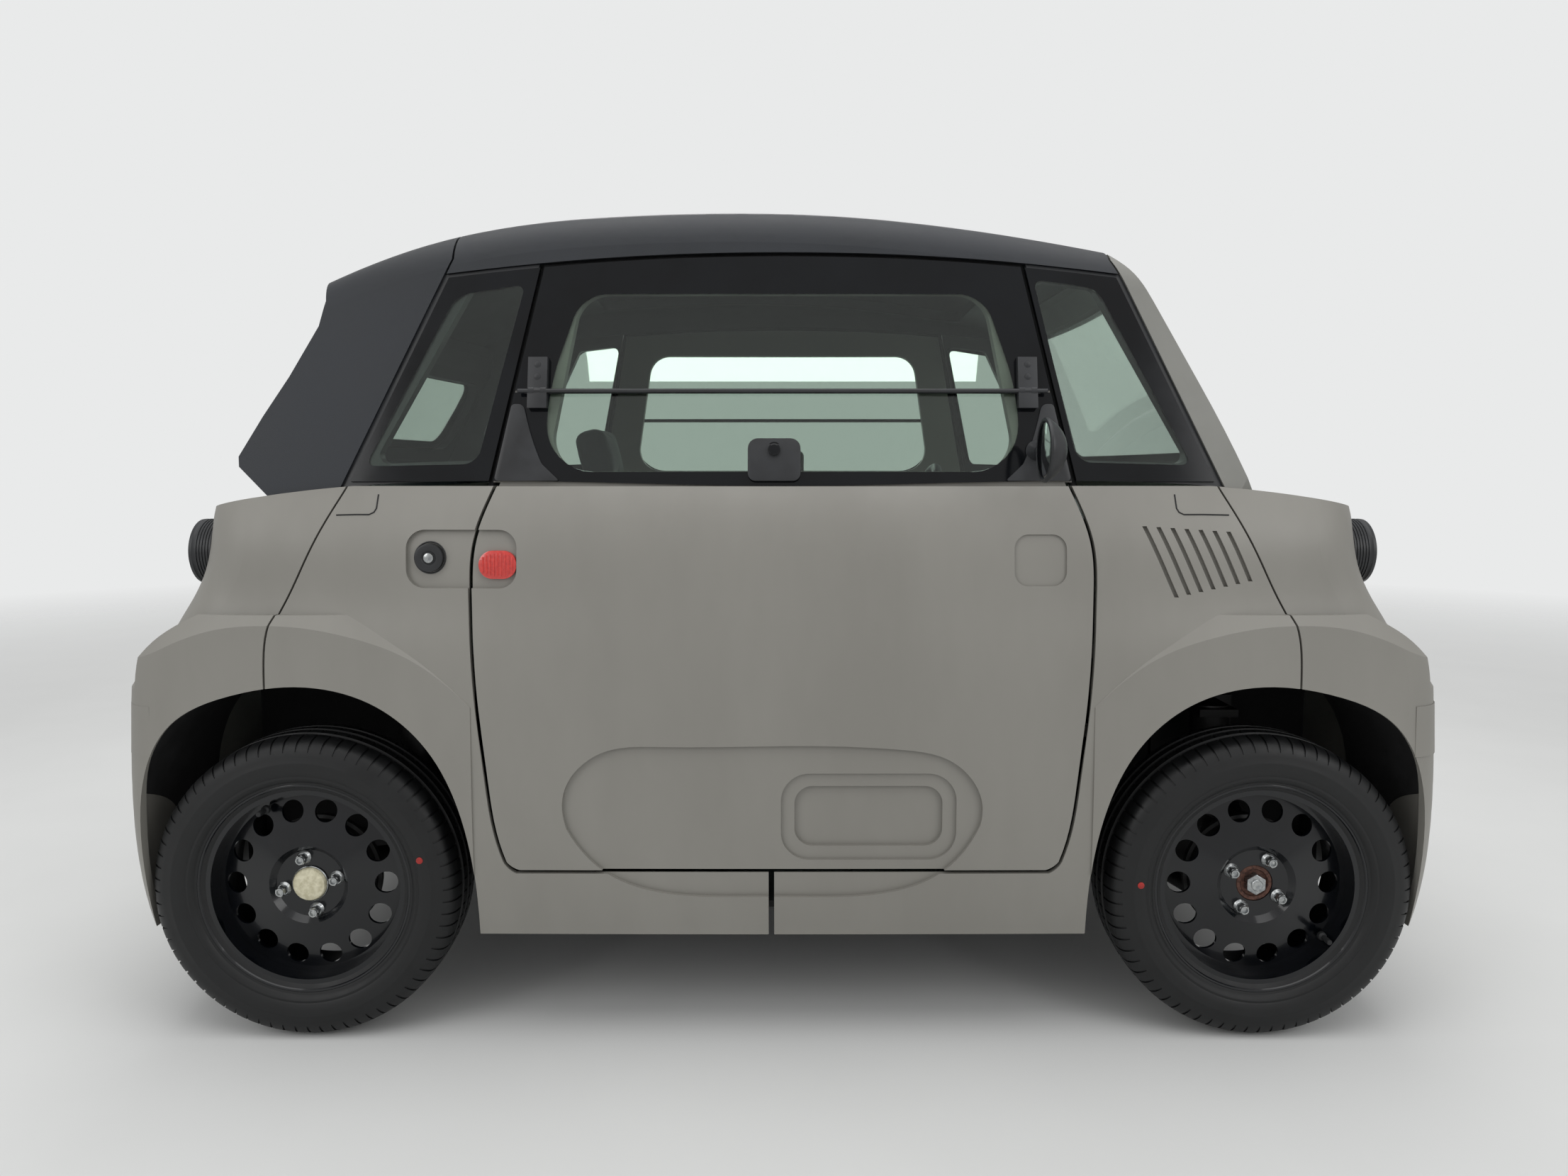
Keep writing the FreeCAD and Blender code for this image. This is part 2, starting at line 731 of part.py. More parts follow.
def make_pocket(height):
    """Room in the back of the fender's wall for the eye and its turning strap."""
    half = d.door_pin_half + d.panel_gap
    return block(hinge_place - d.door_pocket_reach, hinge_place + d.door_pocket_deep,
                 -hinge_side - d.door_pocket_deep, d.door_post_wide - hinge_side, height - half, height + half)


def make_hinge_post():
    start = hinge_place + d.door_post_gap
    pieces = [block(start, start + d.door_post_long, -hinge_side - d.door_pocket_deep,
                    d.door_post_wide - hinge_side, d.door_hinge_low - d.door_post_over,
                    d.door_hinge_high + d.door_post_over)]
    lugs = []
    for height in hinge_heights:
        for way in (-1, 1):
            near = height + way * (d.door_eye_half + d.seat_clearance)
            far = height + way * d.door_pin_half
            pieces.append(block(hinge_place, start + d.door_pocket_deep, -hinge_side - d.door_eye_radius,
                                d.door_eye_radius - hinge_side, min(near, far), max(near, far)))
            lugs.append(hinge_rod(min(near, far), max(near, far), d.door_eye_radius))
        lugs.append(hinge_rod(height - d.door_pin_half, height + d.door_pin_half, d.door_pin_radius))
    arch = arch_prism(d.liner_wall * 2 + d.seat_clearance, d.arch_fore_reach, -far_side, 0)
    return joined([joined(pieces).common(fit_skin).cut(arch)] + lugs)


# Greenhouse surfaces

CROWN_SHARES = [
    # along: share of half the overall length; up: share of the way from the belt to the roof
    (-0.90, 0.540), (-0.80, 0.655), (-0.66, 0.800), (-0.50, 0.923), (-0.34, 0.976), (-0.12, 1.000), (0.10, 0.988),
    (0.30, 0.938), (0.45, 0.882), (0.60, 0.810), (0.80, 0.660),
]
HOUSE_STATION_COUNT = 11


def house_ring(place, crown, inset):
    """Cross-section of the greenhouse: leaning sides, round corners and a bowed roof."""
    end_bow = d.house_end_bow * (place / d.deck_flat_half_long) ** 2
    wide = d.house_half_wide - end_bow
    lean = d.house_lean
    length = math.hypot(1, lean)
    foot = d.belt_height - d.cut_over * 3
    side_foot = Vector(place, lean * (foot - d.belt_height) - wide, foot)
    upward = Vector(0, lean / length, 1 / length)
    inward = Vector(0, 1 / length, -lean / length)
    crown_radius = (wide ** 2 + d.house_crown_bow ** 2) / (2 * d.house_crown_bow)
    crown_centre = Vector(place, 0, crown - crown_radius)
    corner = d.house_corner_round
    track = side_foot + inward * corner
    back = track - crown_centre
    reach = crown_radius - corner
    half_b = back.dot(upward)
    travel = -half_b + math.sqrt(half_b ** 2 - (back.dot(back) - reach ** 2))
    corner_centre = track + upward * travel
    side_touch = corner_centre - inward * (corner - inset)
    crown_way = (corner_centre - crown_centre).normalize()
    crown_touch = corner_centre + crown_way * (corner - inset)
    mid_way = (crown_way - inward).normalize()
    corner_mid = corner_centre + mid_way * (corner - inset)
    crown_mid = Vector(place, 0, crown - inset)
    low = side_foot + inward * inset

    def far(point):
        return Vector(point.x, -point.y, point.z)

    edges = [
        Part.LineSegment(low, side_touch).toShape(),
        Part.Arc(side_touch, corner_mid, crown_touch).toShape(),
        Part.Arc(crown_touch, crown_mid, far(crown_touch)).toShape(),
        Part.Arc(far(crown_touch), far(corner_mid), far(side_touch)).toShape(),
        Part.LineSegment(far(side_touch), far(low)).toShape(),
        Part.LineSegment(far(low), low).toShape(),
    ]
    return Part.Wire(edges)


SCREEN_SHARES = [
    # along: from the screen's head to its foot; up: from the belt to the head
    (0.00, 1.000), (0.16, 0.912), (0.34, 0.752), (0.56, 0.508), (0.78, 0.260), (1.00, -0.020),
    (1.10, -0.160),
]
SCREEN_HEAD_SHARE = 0.495
SCREEN_FOOT_SHARE = 0.712
TAIL_SHARES = [
    # along: share of half the overall length; up: share of the way from the belt to the roof
    (0.690, 1.150), (0.712, 0.744), (0.708, 0.650), (0.718, 0.559), (0.761, 0.381), (0.800, 0.240),
    (0.835, 0.101), (0.834, 0.066), (0.786, -0.045), (0.740, -0.200),
]


def turned_profile(points, inset, smooth):
    """Solid turned about an upright line far behind it, so that its face bows in plan."""
    radius = d.screen_bow_radius
    reach = points[0].x
    base = reach - radius
    curved = [point - Vector(inset, 0, 0) for point in points]
    feet = [on_xz(base, curved[-1].z), on_xz(base, curved[0].z)]
    face = spline_face(curved, feet) if smooth else polygon(curved + feet)
    half_angle = math.degrees(math.asin(far_side / radius))
    start = face.rotated(on_xz(base, 0), Vector(0, 0, 1), -half_angle)
    return start.revolve(on_xz(base, 0), Vector(0, 0, 1), 2 * half_angle)


def screen_envelope(inset):
    tall = d.roof_height - d.belt_height
    head = half_long * SCREEN_HEAD_SHARE + (d.house_half_wide * 0.8) ** 2 / (2 * d.screen_bow_radius)
    run = half_long * (SCREEN_FOOT_SHARE - SCREEN_HEAD_SHARE)
    points = [on_xz(head - run * 0.16, d.belt_height + tall * 0.99)]
    for along, up in SCREEN_SHARES:
        points.append(on_xz(head + run * along, d.belt_height + tall * up * 0.84))
    top = points[0] + Vector(-run, 0, tall * 0.3)
    return turned_profile([top] + points, inset, True)


def tail_envelope(inset):
    tall = d.roof_height - d.belt_height
    points = []
    bow = (d.house_half_wide * 0.72) ** 2 / (2 * d.screen_bow_radius)
    for along, up in TAIL_SHARES:
        points.append(on_xz(half_long * along + bow, d.belt_height + tall * up))
    return turned(turned_profile(points, inset, False))


def house_solid(inset):
    rings = []
    tall = d.roof_height - d.belt_height
    for along in even_steps(CROWN_SHARES[0][0], CROWN_SHARES[-1][0], HOUSE_STATION_COUNT):
        crown = d.belt_height + tall * read_curve(CROWN_SHARES, along)
        rings.append(house_ring(half_long * along, crown, inset))
    body = Part.makeLoft(rings, True, False)
    return body.common(screen_envelope(inset)).common(tail_envelope(inset))



house_outer = house_solid(0)
house_glass = house_solid(d.glass_thick)
house_frame = house_solid(d.glass_thick + d.seat_clearance)
house_inner = house_solid(d.house_wall)
over_deck = block(-half_long, half_long, -far_side, far_side, 0, d.roof_height + d.cut_over * 2).cut(
    deck_prism(-d.seat_clearance))


def inside_top(clearance):
    """What the greenhouse covers, to open the top of the lower body under it."""
    return house_inner


glass_layer = house_outer.cut(house_glass).common(over_deck)
wall_layer = house_frame.cut(house_inner).common(over_deck)
full_wall = house_outer.cut(house_inner).common(over_deck)


def seam_points(side):
    """Seam from the roof's silhouette down the pillar to the belt, front or rear."""
    foot = d.belt_height - d.cut_over
    return [on_xz(side * d.header_place, d.roof_height + d.cut_over),
            on_xz(side * d.header_place, d.roof_line_height),
            on_xz(side * d.quarter_foot_place, d.belt_height),
            on_xz(side * (d.quarter_foot_place + d.cut_over * 0.45), foot)]


def beyond_seam(side, gap):
    """All that lies ahead of the front seam, or behind the rear one."""
    points = [point + Vector(side * gap, 0, 0) for point in seam_points(side)]
    reach = side * (half_long + d.cut_over)
    points += [on_xz(reach, points[-1].z), on_xz(reach, points[0].z)]
    return along_y(polygon(points), -far_side, far_side)


def roof_prism(gap):
    """All that lies above the roof's lower edge."""
    line = d.roof_line_height + gap
    drop = d.house_wall
    reach = half_long
    curve = [on_xz(-d.header_place * 1.2, line - drop * 1.5), on_xz(-d.header_place, line - drop),
             on_xz(-d.header_place / 2, line - drop * 0.07), on_xz(0, line + drop * 0.22),
             on_xz(d.header_place / 2, line - drop * 0.07), on_xz(d.header_place, line - drop),
             on_xz(d.header_place * 1.2, line - drop * 1.5)]
    top = d.roof_height + d.cut_over
    ends = [on_xz(reach, curve[-1].z), on_xz(reach, top), on_xz(-reach, top), on_xz(-reach, curve[0].z)]
    return along_y(spline_face(curve, ends), -far_side, far_side)


def right_half(shape):
    return shape.common(block(-half_long, half_long, -far_side, 0, 0, d.roof_height * 1.2))


# Side windows, right side, as outlines over the flat side of the greenhouse

def leaning(foot_place, head_place, height):
    """Place along the car, at a height, of a line from the belt to the roof's lower edge."""
    share = (height - d.belt_height) / (d.roof_line_height - d.belt_height)
    return foot_place + (head_place - foot_place) * share


def between_lines(near, far, foot, top):
    """Outline between two leaning lines, each given by its foot and head places."""
    return [on_xz(leaning(*near, foot), foot), on_xz(leaning(*far, foot), foot),
            on_xz(leaning(*far, top), top), on_xz(leaning(*near, top), top)]


def door_glass_points(grow):
    far = (d.door_glass_foot_half + grow, d.door_glass_top_half + grow)
    near = (-far[0], -far[1])
    return between_lines(near, far, d.belt_height - d.cut_over, d.roof_height)


def quarter_points(side):
    """Outline of the quarter window, ahead of the door or behind it."""
    near = (side * (d.door_glass_foot_half + d.pane_gap), side * (d.door_glass_top_half + d.pane_gap))
    far = (side * (d.quarter_foot_place - d.pane_gap), side * (d.header_place - d.pane_gap))
    return between_lines(near, far, d.belt_height + d.pane_gap, d.roof_height)


def clear_door_points():
    inset = d.clear_inset
    top = d.roof_line_height - inset * 1.45
    foot = d.belt_height + inset * 0.55
    half_top = d.door_glass_top_half - inset * 1.4
    half_foot = d.door_glass_foot_half - inset * 2.1
    return [on_xz(-half_foot, foot), on_xz(half_foot, foot), on_xz(half_top, top), on_xz(-half_top, top)]


def clear_quarter_points(side):
    inset = d.clear_inset
    return [on_xz(side * (d.door_glass_foot_half + inset * 0.25), d.belt_height + inset),
            on_xz(side * (d.quarter_foot_place - inset * 1.15), d.belt_height + inset * 0.85),
            on_xz(side * (d.header_place - inset * 0.75), d.roof_line_height - inset * 1.2),
            on_xz(side * (d.door_glass_top_half + inset * 0.55), d.roof_line_height - inset * 0.9)]


def side_prism(points, y_from, y_to, radius=0):
    face = rounded_face(points, radius) if radius else polygon(points)
    return along_y(face, y_from, y_to)


right_side = (-far_side, -d.house_half_wide / 2)


def make_roof_opening(grow):
    """Opening of the glass roof panel, seen from above."""
    long_half = d.header_place - d.clear_inset * 2 + grow
    wide_half = d.house_half_wide - d.clear_inset * 3 + grow
    corners = [Vector(-long_half, -wide_half, 0), Vector(long_half, -wide_half, 0),
               Vector(long_half, wide_half, 0), Vector(-long_half, wide_half, 0)]
    return along_z(rounded_face(corners, d.clear_inset), d.roof_line_height, d.roof_height * 1.1)


def make_roof():
    shell = full_wall.common(roof_prism(d.pane_gap / 2)).cut([beyond_seam(1, 0), beyond_seam(-1, 0)])
    pane = glass_layer.common(make_roof_opening(-d.seat_clearance))
    clear = make_roof_opening(-d.house_wall)
    seat = house_outer.cut(house_glass).common(make_roof_opening(0))
    return shell.cut([clear, seat]), pane


def screen_opening(side, edge, x_from, x_to):
    """Opening seen from the front or the rear, with the pillars left at the sides."""
    foot = (d.belt_height if side > 0 else d.rear_window_foot) + edge * 0.4
    top = (d.roof_line_height if side > 0 else d.rear_window_head) + d.house_wall * 0.9 - edge
    low_half = d.house_half_wide - edge - (d.rear_window_margin if side < 0 else 0)
    top_half = low_half - d.house_lean * (top - foot)
    corners = [Vector(0, -low_half, foot), Vector(0, low_half, foot), Vector(0, top_half, top),
               Vector(0, -top_half, top)]
    return along_x(rounded_face(corners, d.house_corner_round / 2), x_from, x_to)


def make_screen(side):
    """Frame and glass ahead of the front seam, or behind the rear one."""
    region = beyond_seam(side, d.panel_gap)
    reach = side * half_long
    grip = d.clear_inset
    shell = full_wall.common(region)
    glass_hole = screen_opening(side, grip * 0.9, min(0, reach), max(0, reach))
    pane_hole = screen_opening(side, grip * 0.9 + d.seat_clearance, min(0, reach), max(0, reach))
    clear_hole = screen_opening(side, grip * 1.5, min(0, reach), max(0, reach))
    seat = house_outer.cut(house_frame).common(glass_hole)
    pane = glass_layer.common(region).common(pane_hole)
    return shell.cut([seat, clear_hole]), pane



house_skirt = house_solid(-d.seat_clearance)
house_trim = house_solid(-d.window_hinge_thick)
trim_layer = house_trim.cut(house_skirt)

nose_front = make_nose().cut(house_inner)
split_fore = d.sill_split_place + d.sill_split_gap / 2
split_aft = d.sill_split_gap / 2 - d.sill_split_place


def skin_side_at(height, place):
    """Distance of the skin from the middle plane at a height and a place along the car."""
    up = (height - d.skin_foot_height) / (d.belt_height - d.skin_foot_height)
    long_half, wide_half, bow = skin_ring_sizes(up)
    return wide_half - bow * (place / long_half) ** 2


lamp_axis = Vector(1, 0, 0)


def lamp_rod(radius, x_from, x_to, side):
    return rod(on_xz(x_from, d.lamp_height, side * d.lamp_side),
               on_xz(x_to, d.lamp_height, side * d.lamp_side), radius)


lamp_back = d.lamp_face_place - d.lamp_depth
lamp_bores = [lamp_rod(d.lamp_radius + d.seat_clearance, lamp_back, half_long, side) for side in (1, -1)]
nose_front = nose_front.cut(lamp_bores)

VENT_FADE_SHARE = 0.30
VENT_DROP_SHARE = 0.08
vents = []
for step in range(round(d.vent_count)):
    along = step / (d.vent_count - 1)
    place = d.vent_place + step * d.vent_pitch
    top = d.vent_top_height - d.vent_tall * VENT_DROP_SHARE * along
    reach_share = 1 - VENT_FADE_SHARE * along
    lean = d.vent_lean * reach_share
    foot = top - d.vent_tall * reach_share
    slot = [on_xz(place, top), on_xz(place + d.vent_wide, top), on_xz(place + d.vent_wide + lean, foot),
            on_xz(place + lean, foot)]
    vents.append(recess_tool(slot, 0, recess_skin))
fender_fore = make_fender(split_fore).cut([house_inner] + [make_pocket(height) for height in hinge_heights])
fender_fore = fender_fore.cut(vents + [side_inset])
fender_aft_turned = make_fender(split_aft).cut(house_inner)

def turned_x(shape):
    return shape.mirror(Vector(0, 0, 0), Vector(1, 0, 0))


opener_side = skin_side_at(d.opener_height, d.opener_place)
opener_bore = rod(on_xz(d.opener_place, d.opener_height, -opener_side - d.cut_over),
                  on_xz(d.opener_place, d.opener_height, -opener_side + d.cut_over),
                  d.opener_radius + d.seat_clearance)
fender_aft_turned = fender_aft_turned.cut([opener_bore, turned_x(catch_recess), turned_x(side_inset)])
fender_aft = fender_aft_turned.mirror(Vector(0, 0, 0), Vector(1, 0, 0))

feature("nose_panel_front", nose_front)
feature("nose_panel_rear", turned(nose_front))
feature("fender_front_right", fender_fore)
feature("fender_rear_left", turned(fender_fore))
feature("fender_rear_right", fender_aft)
feature("fender_front_left", turned(fender_aft))

opener = rod(on_xz(-d.opener_place, d.opener_height, -opener_side),
             on_xz(-d.opener_place, d.opener_height, -opener_side + d.opener_depth), d.opener_radius)
feature("door_openers", together([opener, turned(opener)]))

housings = []
for side in (1, -1):
    shell = lamp_rod(d.lamp_radius, lamp_back, d.lamp_face_place, side)
    bore = lamp_rod(d.lamp_radius - d.lamp_wall, lamp_back + d.lamp_wall, half_long, side)
    housings.append(shell.cut(bore))
feature("lamp_housings", together(housings + [turned(shape) for shape in housings]))
lenses = [lamp_rod(d.lamp_radius - d.lamp_wall - d.seat_clearance,
                   lamp_back + d.lamp_wall + d.seat_clearance,
                   d.lamp_face_place - d.lamp_lens_thick / 2, side) for side in (1, -1)]
feature("headlamp_lenses", together(lenses))
feature("taillamp_lenses", together([turned(shape) for shape in lenses]))

roof, roof_pane = make_roof()
front_frame, front_pane = make_screen(1)
tail_frame, tail_pane = make_screen(-1)
feature("roof_shell", roof)
feature("roof_glass", roof_pane)
feature("windscreen_frame", front_frame)
feature("windscreen", front_pane)
feature("tail_panel", tail_frame)
feature("rear_window", tail_pane)

door_hole = side_prism(door_glass_points(d.pane_gap * 1.5), *right_side)
above_panes = roof_prism(-d.pane_gap / 2)
quarter_right = [side_prism(quarter_points(side), *right_side).cut(above_panes) for side in (1, -1)]
clear_right = [side_prism(clear_quarter_points(side), *right_side, d.pane_gap * 2) for side in (1, -1)]
panes_right = [glass_layer.common(prism) for prism in quarter_right]
feature("quarter_windows", together(panes_right + [turned(pane) for pane in panes_right[::-1]]))
side_wall = right_half(wall_layer).cut([roof_prism(d.pane_gap / 2 - d.roof_seat_gap),
                                        beyond_seam(1, d.panel_gap - d.seat_clearance),
                                        beyond_seam(-1, d.panel_gap - d.seat_clearance)])
pillars_right = side_wall.cut([door_hole] + clear_right)
feature("pillar_frames", together([pillars_right, turned(pillars_right)]))


# Doors: lower shell with the window frame above, in one piece

door_low = make_lower_door()
door_outline = side_prism(door_glass_points(0), *right_side).cut(above_panes)
door_clear = side_prism(clear_door_points(), *right_side, d.house_corner_round * 0.7)
over_fenders = block(-half_long, half_long, -far_side, 0, 0, d.belt_height + d.door_gap).cut(
    door_prism(0, -far_side, 0))
door_upper = right_half(house_frame.cut(house_inner)).common(door_outline).cut([door_clear, over_fenders])
door_shell = joined([door_low.cut(block(-half_long, half_long, -far_side, 0,
                                        d.belt_height - d.seat_clearance, d.roof_height)), door_upper])
door_shell = door_shell.cut([catch_recess, pad_recess, side_inset, speaker_recess, speaker_inner])
door_shell = joined([door_shell] + [make_neck(height) for height in hinge_heights])
door_glass = glass_layer.common(door_outline).cut(over_fenders)
pane_split = block(-half_long, half_long, -far_side, 0, d.hinge_line_height - d.panel_gap / 2,
                   d.hinge_line_height + d.panel_gap / 2)
door_glass = door_glass.cut(pane_split)
hinge_blocks = []
for side in (1, -1):
    place = side * d.window_hinge_place
    outline = block(place - d.window_hinge_long / 2, place + d.window_hinge_long / 2, -far_side,
                    -d.house_half_wide / 2, d.hinge_line_height - d.window_hinge_tall / 3,
                    d.hinge_line_height + d.window_hinge_tall * 2 / 3)
    hinge_blocks.append(trim_layer.common(outline))
rod_side = d.house_half_wide - d.house_lean * (d.hinge_line_height - d.belt_height) + d.window_hinge_thick / 2
window_rod = rod(on_xz(-d.window_hinge_place - d.window_hinge_long, d.hinge_line_height, -rod_side),
                 on_xz(d.window_hinge_place + d.window_hinge_long, d.hinge_line_height, -rod_side),
                 d.window_rod_radius)
window_hinges = joined(hinge_blocks + [window_rod])



def make_dome(centre, radius, depth):
    """Shallow dome with its flat face to the rear, turned about the X axis."""
    sphere_radius = (radius ** 2 + depth ** 2) / (2 * depth)
    middle_angle = math.asin(radius / sphere_radius) / 2
    middle = Vector(depth - sphere_radius * (1 - math.cos(middle_angle)), sphere_radius * math.sin(middle_angle), 0)
    rim, tip, heart = Vector(0, radius, 0), Vector(depth, 0, 0), Vector(0, 0, 0)
    edges = [Part.Arc(rim, middle, tip).toShape(), Part.LineSegment(tip, heart).toShape(),
             Part.LineSegment(heart, rim).toShape()]
    dome = Part.Face(Part.Wire(edges)).revolve(heart, Vector(1, 0, 0), 360)
    return dome.translated(centre)


mirror_centre = Vector(d.mirror_place, -d.mirror_side, d.mirror_height)
mirror_dome = make_dome(mirror_centre, d.mirror_radius, d.mirror_depth)
mirror_arm = rod(mirror_centre + Vector(d.mirror_depth / 3, 0, 0),
                 Vector(d.mirror_place + d.mirror_depth / 3, -d.house_half_wide / 2, d.mirror_height),
                 d.mirror_arm_radius).cut(house_skirt)
mirror = joined([mirror_dome, mirror_arm])

for side, turn in (("right", False), ("left", True)):
    for name, shape in (("door_panel_", door_shell), ("door_glass_", door_glass),
                        ("window_hinges_", window_hinges), ("mirror_", mirror)):
        feature(name + side, turned(shape) if turn else shape)


post = make_hinge_post()
feature("door_hinge_posts", together([post, turned(post)]))


# Chassis

rail_top = d.rail_bottom_height + d.rail_height
rails = []
for side in (1, -1):
    rails.append(block(-d.rail_half_long, d.rail_half_long, side * d.rail_side - d.rail_width / 2,
                       side * d.rail_side + d.rail_width / 2, d.rail_bottom_height, rail_top))
feature("chassis_rails", together(rails))

CROSS_PLACE_SHARES = [-0.86, -0.60, -0.42, 0.28, 0.52, 0.86]
cross_half = d.rail_side - d.rail_width / 2
crosses = []
for share in CROSS_PLACE_SHARES:
    place = half_long * share
    crosses.append(block(place - d.cross_width / 2, place + d.cross_width / 2, -cross_half, cross_half,
                         rail_top - d.cross_height, rail_top))
beam = block(d.rail_half_long, half_long, -d.bumper_beam_half, d.bumper_beam_half,
             d.rail_bottom_height, d.bumper_beam_height).common(fit_band)
crosses += [beam, turned(beam)]
feature("cross_members", together(crosses))

floor_top = rail_top + d.floor_thick
tub_half_long = axle - d.arch_door_reach - d.liner_wall * 2 - d.seat_clearance


def tub_plan(inset, z_from, z_to):
    """Plan of the cabin floor: wide between the doors, narrow between the front wheels."""
    side = d.skin_half_wide + d.cut_over
    points = [Vector(inset - tub_half_long, -side, 0), Vector(tub_half_long - inset, -side, 0),
              Vector(tub_half_long - inset, inset - d.tub_well_side, 0),
              Vector(d.tub_well_reach - inset, inset - d.tub_well_side, 0),
              Vector(d.tub_well_reach - inset, d.tub_well_side - inset, 0),
              Vector(tub_half_long - inset, d.tub_well_side - inset, 0),
              Vector(tub_half_long - inset, side, 0), Vector(inset - tub_half_long, side, 0)]
    return along_z(polygon(points), z_from, z_to)


tub_outer = tub_plan(0, rail_top, d.shelf_height).common(fit_band)
doorway = block(-half_long, half_long, -far_side, far_side, floor_top, d.shelf_height * 1.1)
side_clear = d.skin_half_wide - d.door_wall - d.run_clearance
tub_walls = tub_outer.cut(tub_plan(d.tub_wall, floor_top, d.shelf_height * 1.1))
trim_sides = [block(-half_long, half_long, -far_side, -side_clear, floor_top + d.cut_over, d.roof_height),
              block(-half_long, half_long, side_clear, far_side, floor_top + d.cut_over, d.roof_height)]
neck_clear = hinge_side - d.door_neck_drop - d.door_strap_thick - d.run_clearance
for near, far in ((-far_side, -neck_clear), (neck_clear, far_side)):
    for from_place, to_place in ((tub_half_long - d.cut_over, half_long),
                                 (-half_long, d.cut_over - tub_half_long)):
        trim_sides.append(block(from_place, to_place, near, far,
                                d.door_hinge_low - d.door_post_over * 2, d.roof_height))
tub_walls = tub_walls.cut(trim_sides)
well_side = block(tub_half_long - d.tub_wall, half_long, -far_side, far_side, 0, d.roof_height)
shelf = block(-half_long * 0.8, -tub_half_long + d.tub_wall, -neck_clear, neck_clear, d.shelf_height,
              d.shelf_height + d.tub_wall)
front_shelf = block(tub_half_long - d.tub_wall, half_long * 0.8, -neck_clear, neck_clear,
                    d.shelf_height, d.shelf_height + d.tub_wall)


def bay_walls(x_from, x_to):
    return [block(x_from, x_to, side * d.rail_side - d.tub_wall / 2, side * d.rail_side + d.tub_wall / 2,
                  rail_top, d.shelf_height + d.tub_wall) for side in (1, -1)]


feature("floor_pan", tub_walls.cut(well_side))
feature("footwell", tub_walls.common(well_side))
feature("front_bay", joined([front_shelf] + bay_walls(d.tub_well_reach, d.rail_half_long)))
feature("rear_bay", joined([shelf] + bay_walls(-d.rail_half_long, -tub_half_long)))

battery_foot = rail_top - d.battery_tall
battery = block(-d.battery_long / 2 - d.battery_tall, d.battery_long / 2 - d.battery_tall,
                -d.battery_wide / 2, d.battery_wide / 2, battery_foot, rail_top)
feature("battery_pack", battery)
motor = block(-axle - d.motor_long / 2, -axle + d.motor_long / 2, -d.motor_wide / 2, d.motor_wide / 2,
              rail_top, rail_top + d.motor_tall)
feature("motor_unit", motor)

liner_front = arch_prism(d.liner_wall * 2, d.liner_fore_reach, -far_side, -d.liner_inner_side).cut(
    arch_prism(d.liner_wall, d.liner_fore_reach, -half_long * 2, half_long))
liner_cut = block(0, half_long, -far_side, 0, 0, floor_top + d.cut_over)
liner_front = liner_front.cut(liner_cut).common(fit_band)
liner_right_rear = liner_front.mirror(Vector(0, 0, 0), Vector(1, 0, 0))
feature("front_wheel_liners", together([liner_front, turned(liner_right_rear)]))
feature("rear_wheel_liners", together([liner_right_rear, turned(liner_front)]))


# Suspension

def carrier(place, side, pieces):
    return joined(pieces)


hub_back_side = d.wheel_plane_side + d.disc_face_out - d.hub_length
plate_out = hub_back_side - d.seat_clearance
plate_in = plate_out - d.knuckle_thick
rail_out = d.rail_side + d.rail_width / 2


def right_plate(x_centre):
    return block(x_centre - d.knuckle_long / 2, x_centre + d.knuckle_long / 2, -plate_out, -plate_in,
                 axle_height - d.knuckle_height / 2, axle_height + d.knuckle_height / 2)


def make_arms():
    """Lower and upper arms of the front right wheel, with the spring and damper between."""
    low = axle_height - d.knuckle_height / 2 - d.seat_clearance - d.arm_radius
    high = axle_height + d.knuckle_height / 2 + d.seat_clearance + d.arm_radius
    pieces = []
    for height in (low, high):
        end = Vector(axle, -d.kingpin_side, height)
        for along in (d.knuckle_long, -d.knuckle_long):
            pieces.append(rod(end, Vector(axle + along, -rail_out - d.arm_radius / 2, height), d.arm_radius))
        pieces.append(rod(end - Vector(0, 0, d.arm_radius), end + Vector(0, 0, d.arm_radius),
                          d.arm_radius * 1.4))
    tower = block(axle - d.knuckle_long * 1.2, axle + d.knuckle_long * 1.2, -rail_out - d.arm_radius, -rail_out,
                  d.rail_bottom_height, d.damper_top_height)
    foot = Vector(axle, -d.damper_side, low)
    top = Vector(axle, -d.damper_side + d.spring_radius, d.damper_top_height)
    damper = rod(foot, top, d.damper_radius)
    spring_foot = foot + (top - foot) * 0.35
    spring = rod(spring_foot, top, d.spring_radius)
    cap = block(axle - d.spring_radius, axle + d.spring_radius, -d.damper_side - d.spring_radius * 0.4,
                -rail_out, d.damper_top_height - d.arm_radius, d.damper_top_height)
    return joined(pieces + [tower, damper, spring, cap])


arms = make_arms()
feature("front_control_arms", together([arms, mirrored_y(arms)]))


def make_trailing_arm():
    """Rear right arm, from its pivot on the rail to the plate that carries the wheel."""
    pivot = Vector(-axle * 0.68, -rail_out, axle_height - d.arm_radius)
    elbow = Vector(-axle * 0.68, -(rail_out + d.damper_side) / 2, axle_height - d.arm_radius)
    end = Vector(-axle, -plate_in, axle_height)
    arm = [rod(pivot, elbow, d.beam_radius), rod(elbow, end, d.beam_radius),
           Part.makeSphere(d.beam_radius, elbow), right_plate(-axle)]
    foot = elbow + (end - elbow) * 0.5
    tower = block(foot.x - d.knuckle_long, foot.x + d.knuckle_long, -rail_out - d.arm_radius, -rail_out,
                  d.rail_bottom_height, d.damper_top_height)
    top = Vector(foot.x, foot.y + d.spring_radius, d.damper_top_height)
    spring = rod(foot, top, d.spring_radius)
    cap = block(foot.x - d.spring_radius, foot.x + d.spring_radius, foot.y, -rail_out,
                d.damper_top_height - d.arm_radius, d.damper_top_height)
    return joined(arm + [tower, spring, cap])


trailing = make_trailing_arm()
feature("rear_suspension", together([trailing, mirrored_y(trailing)]))

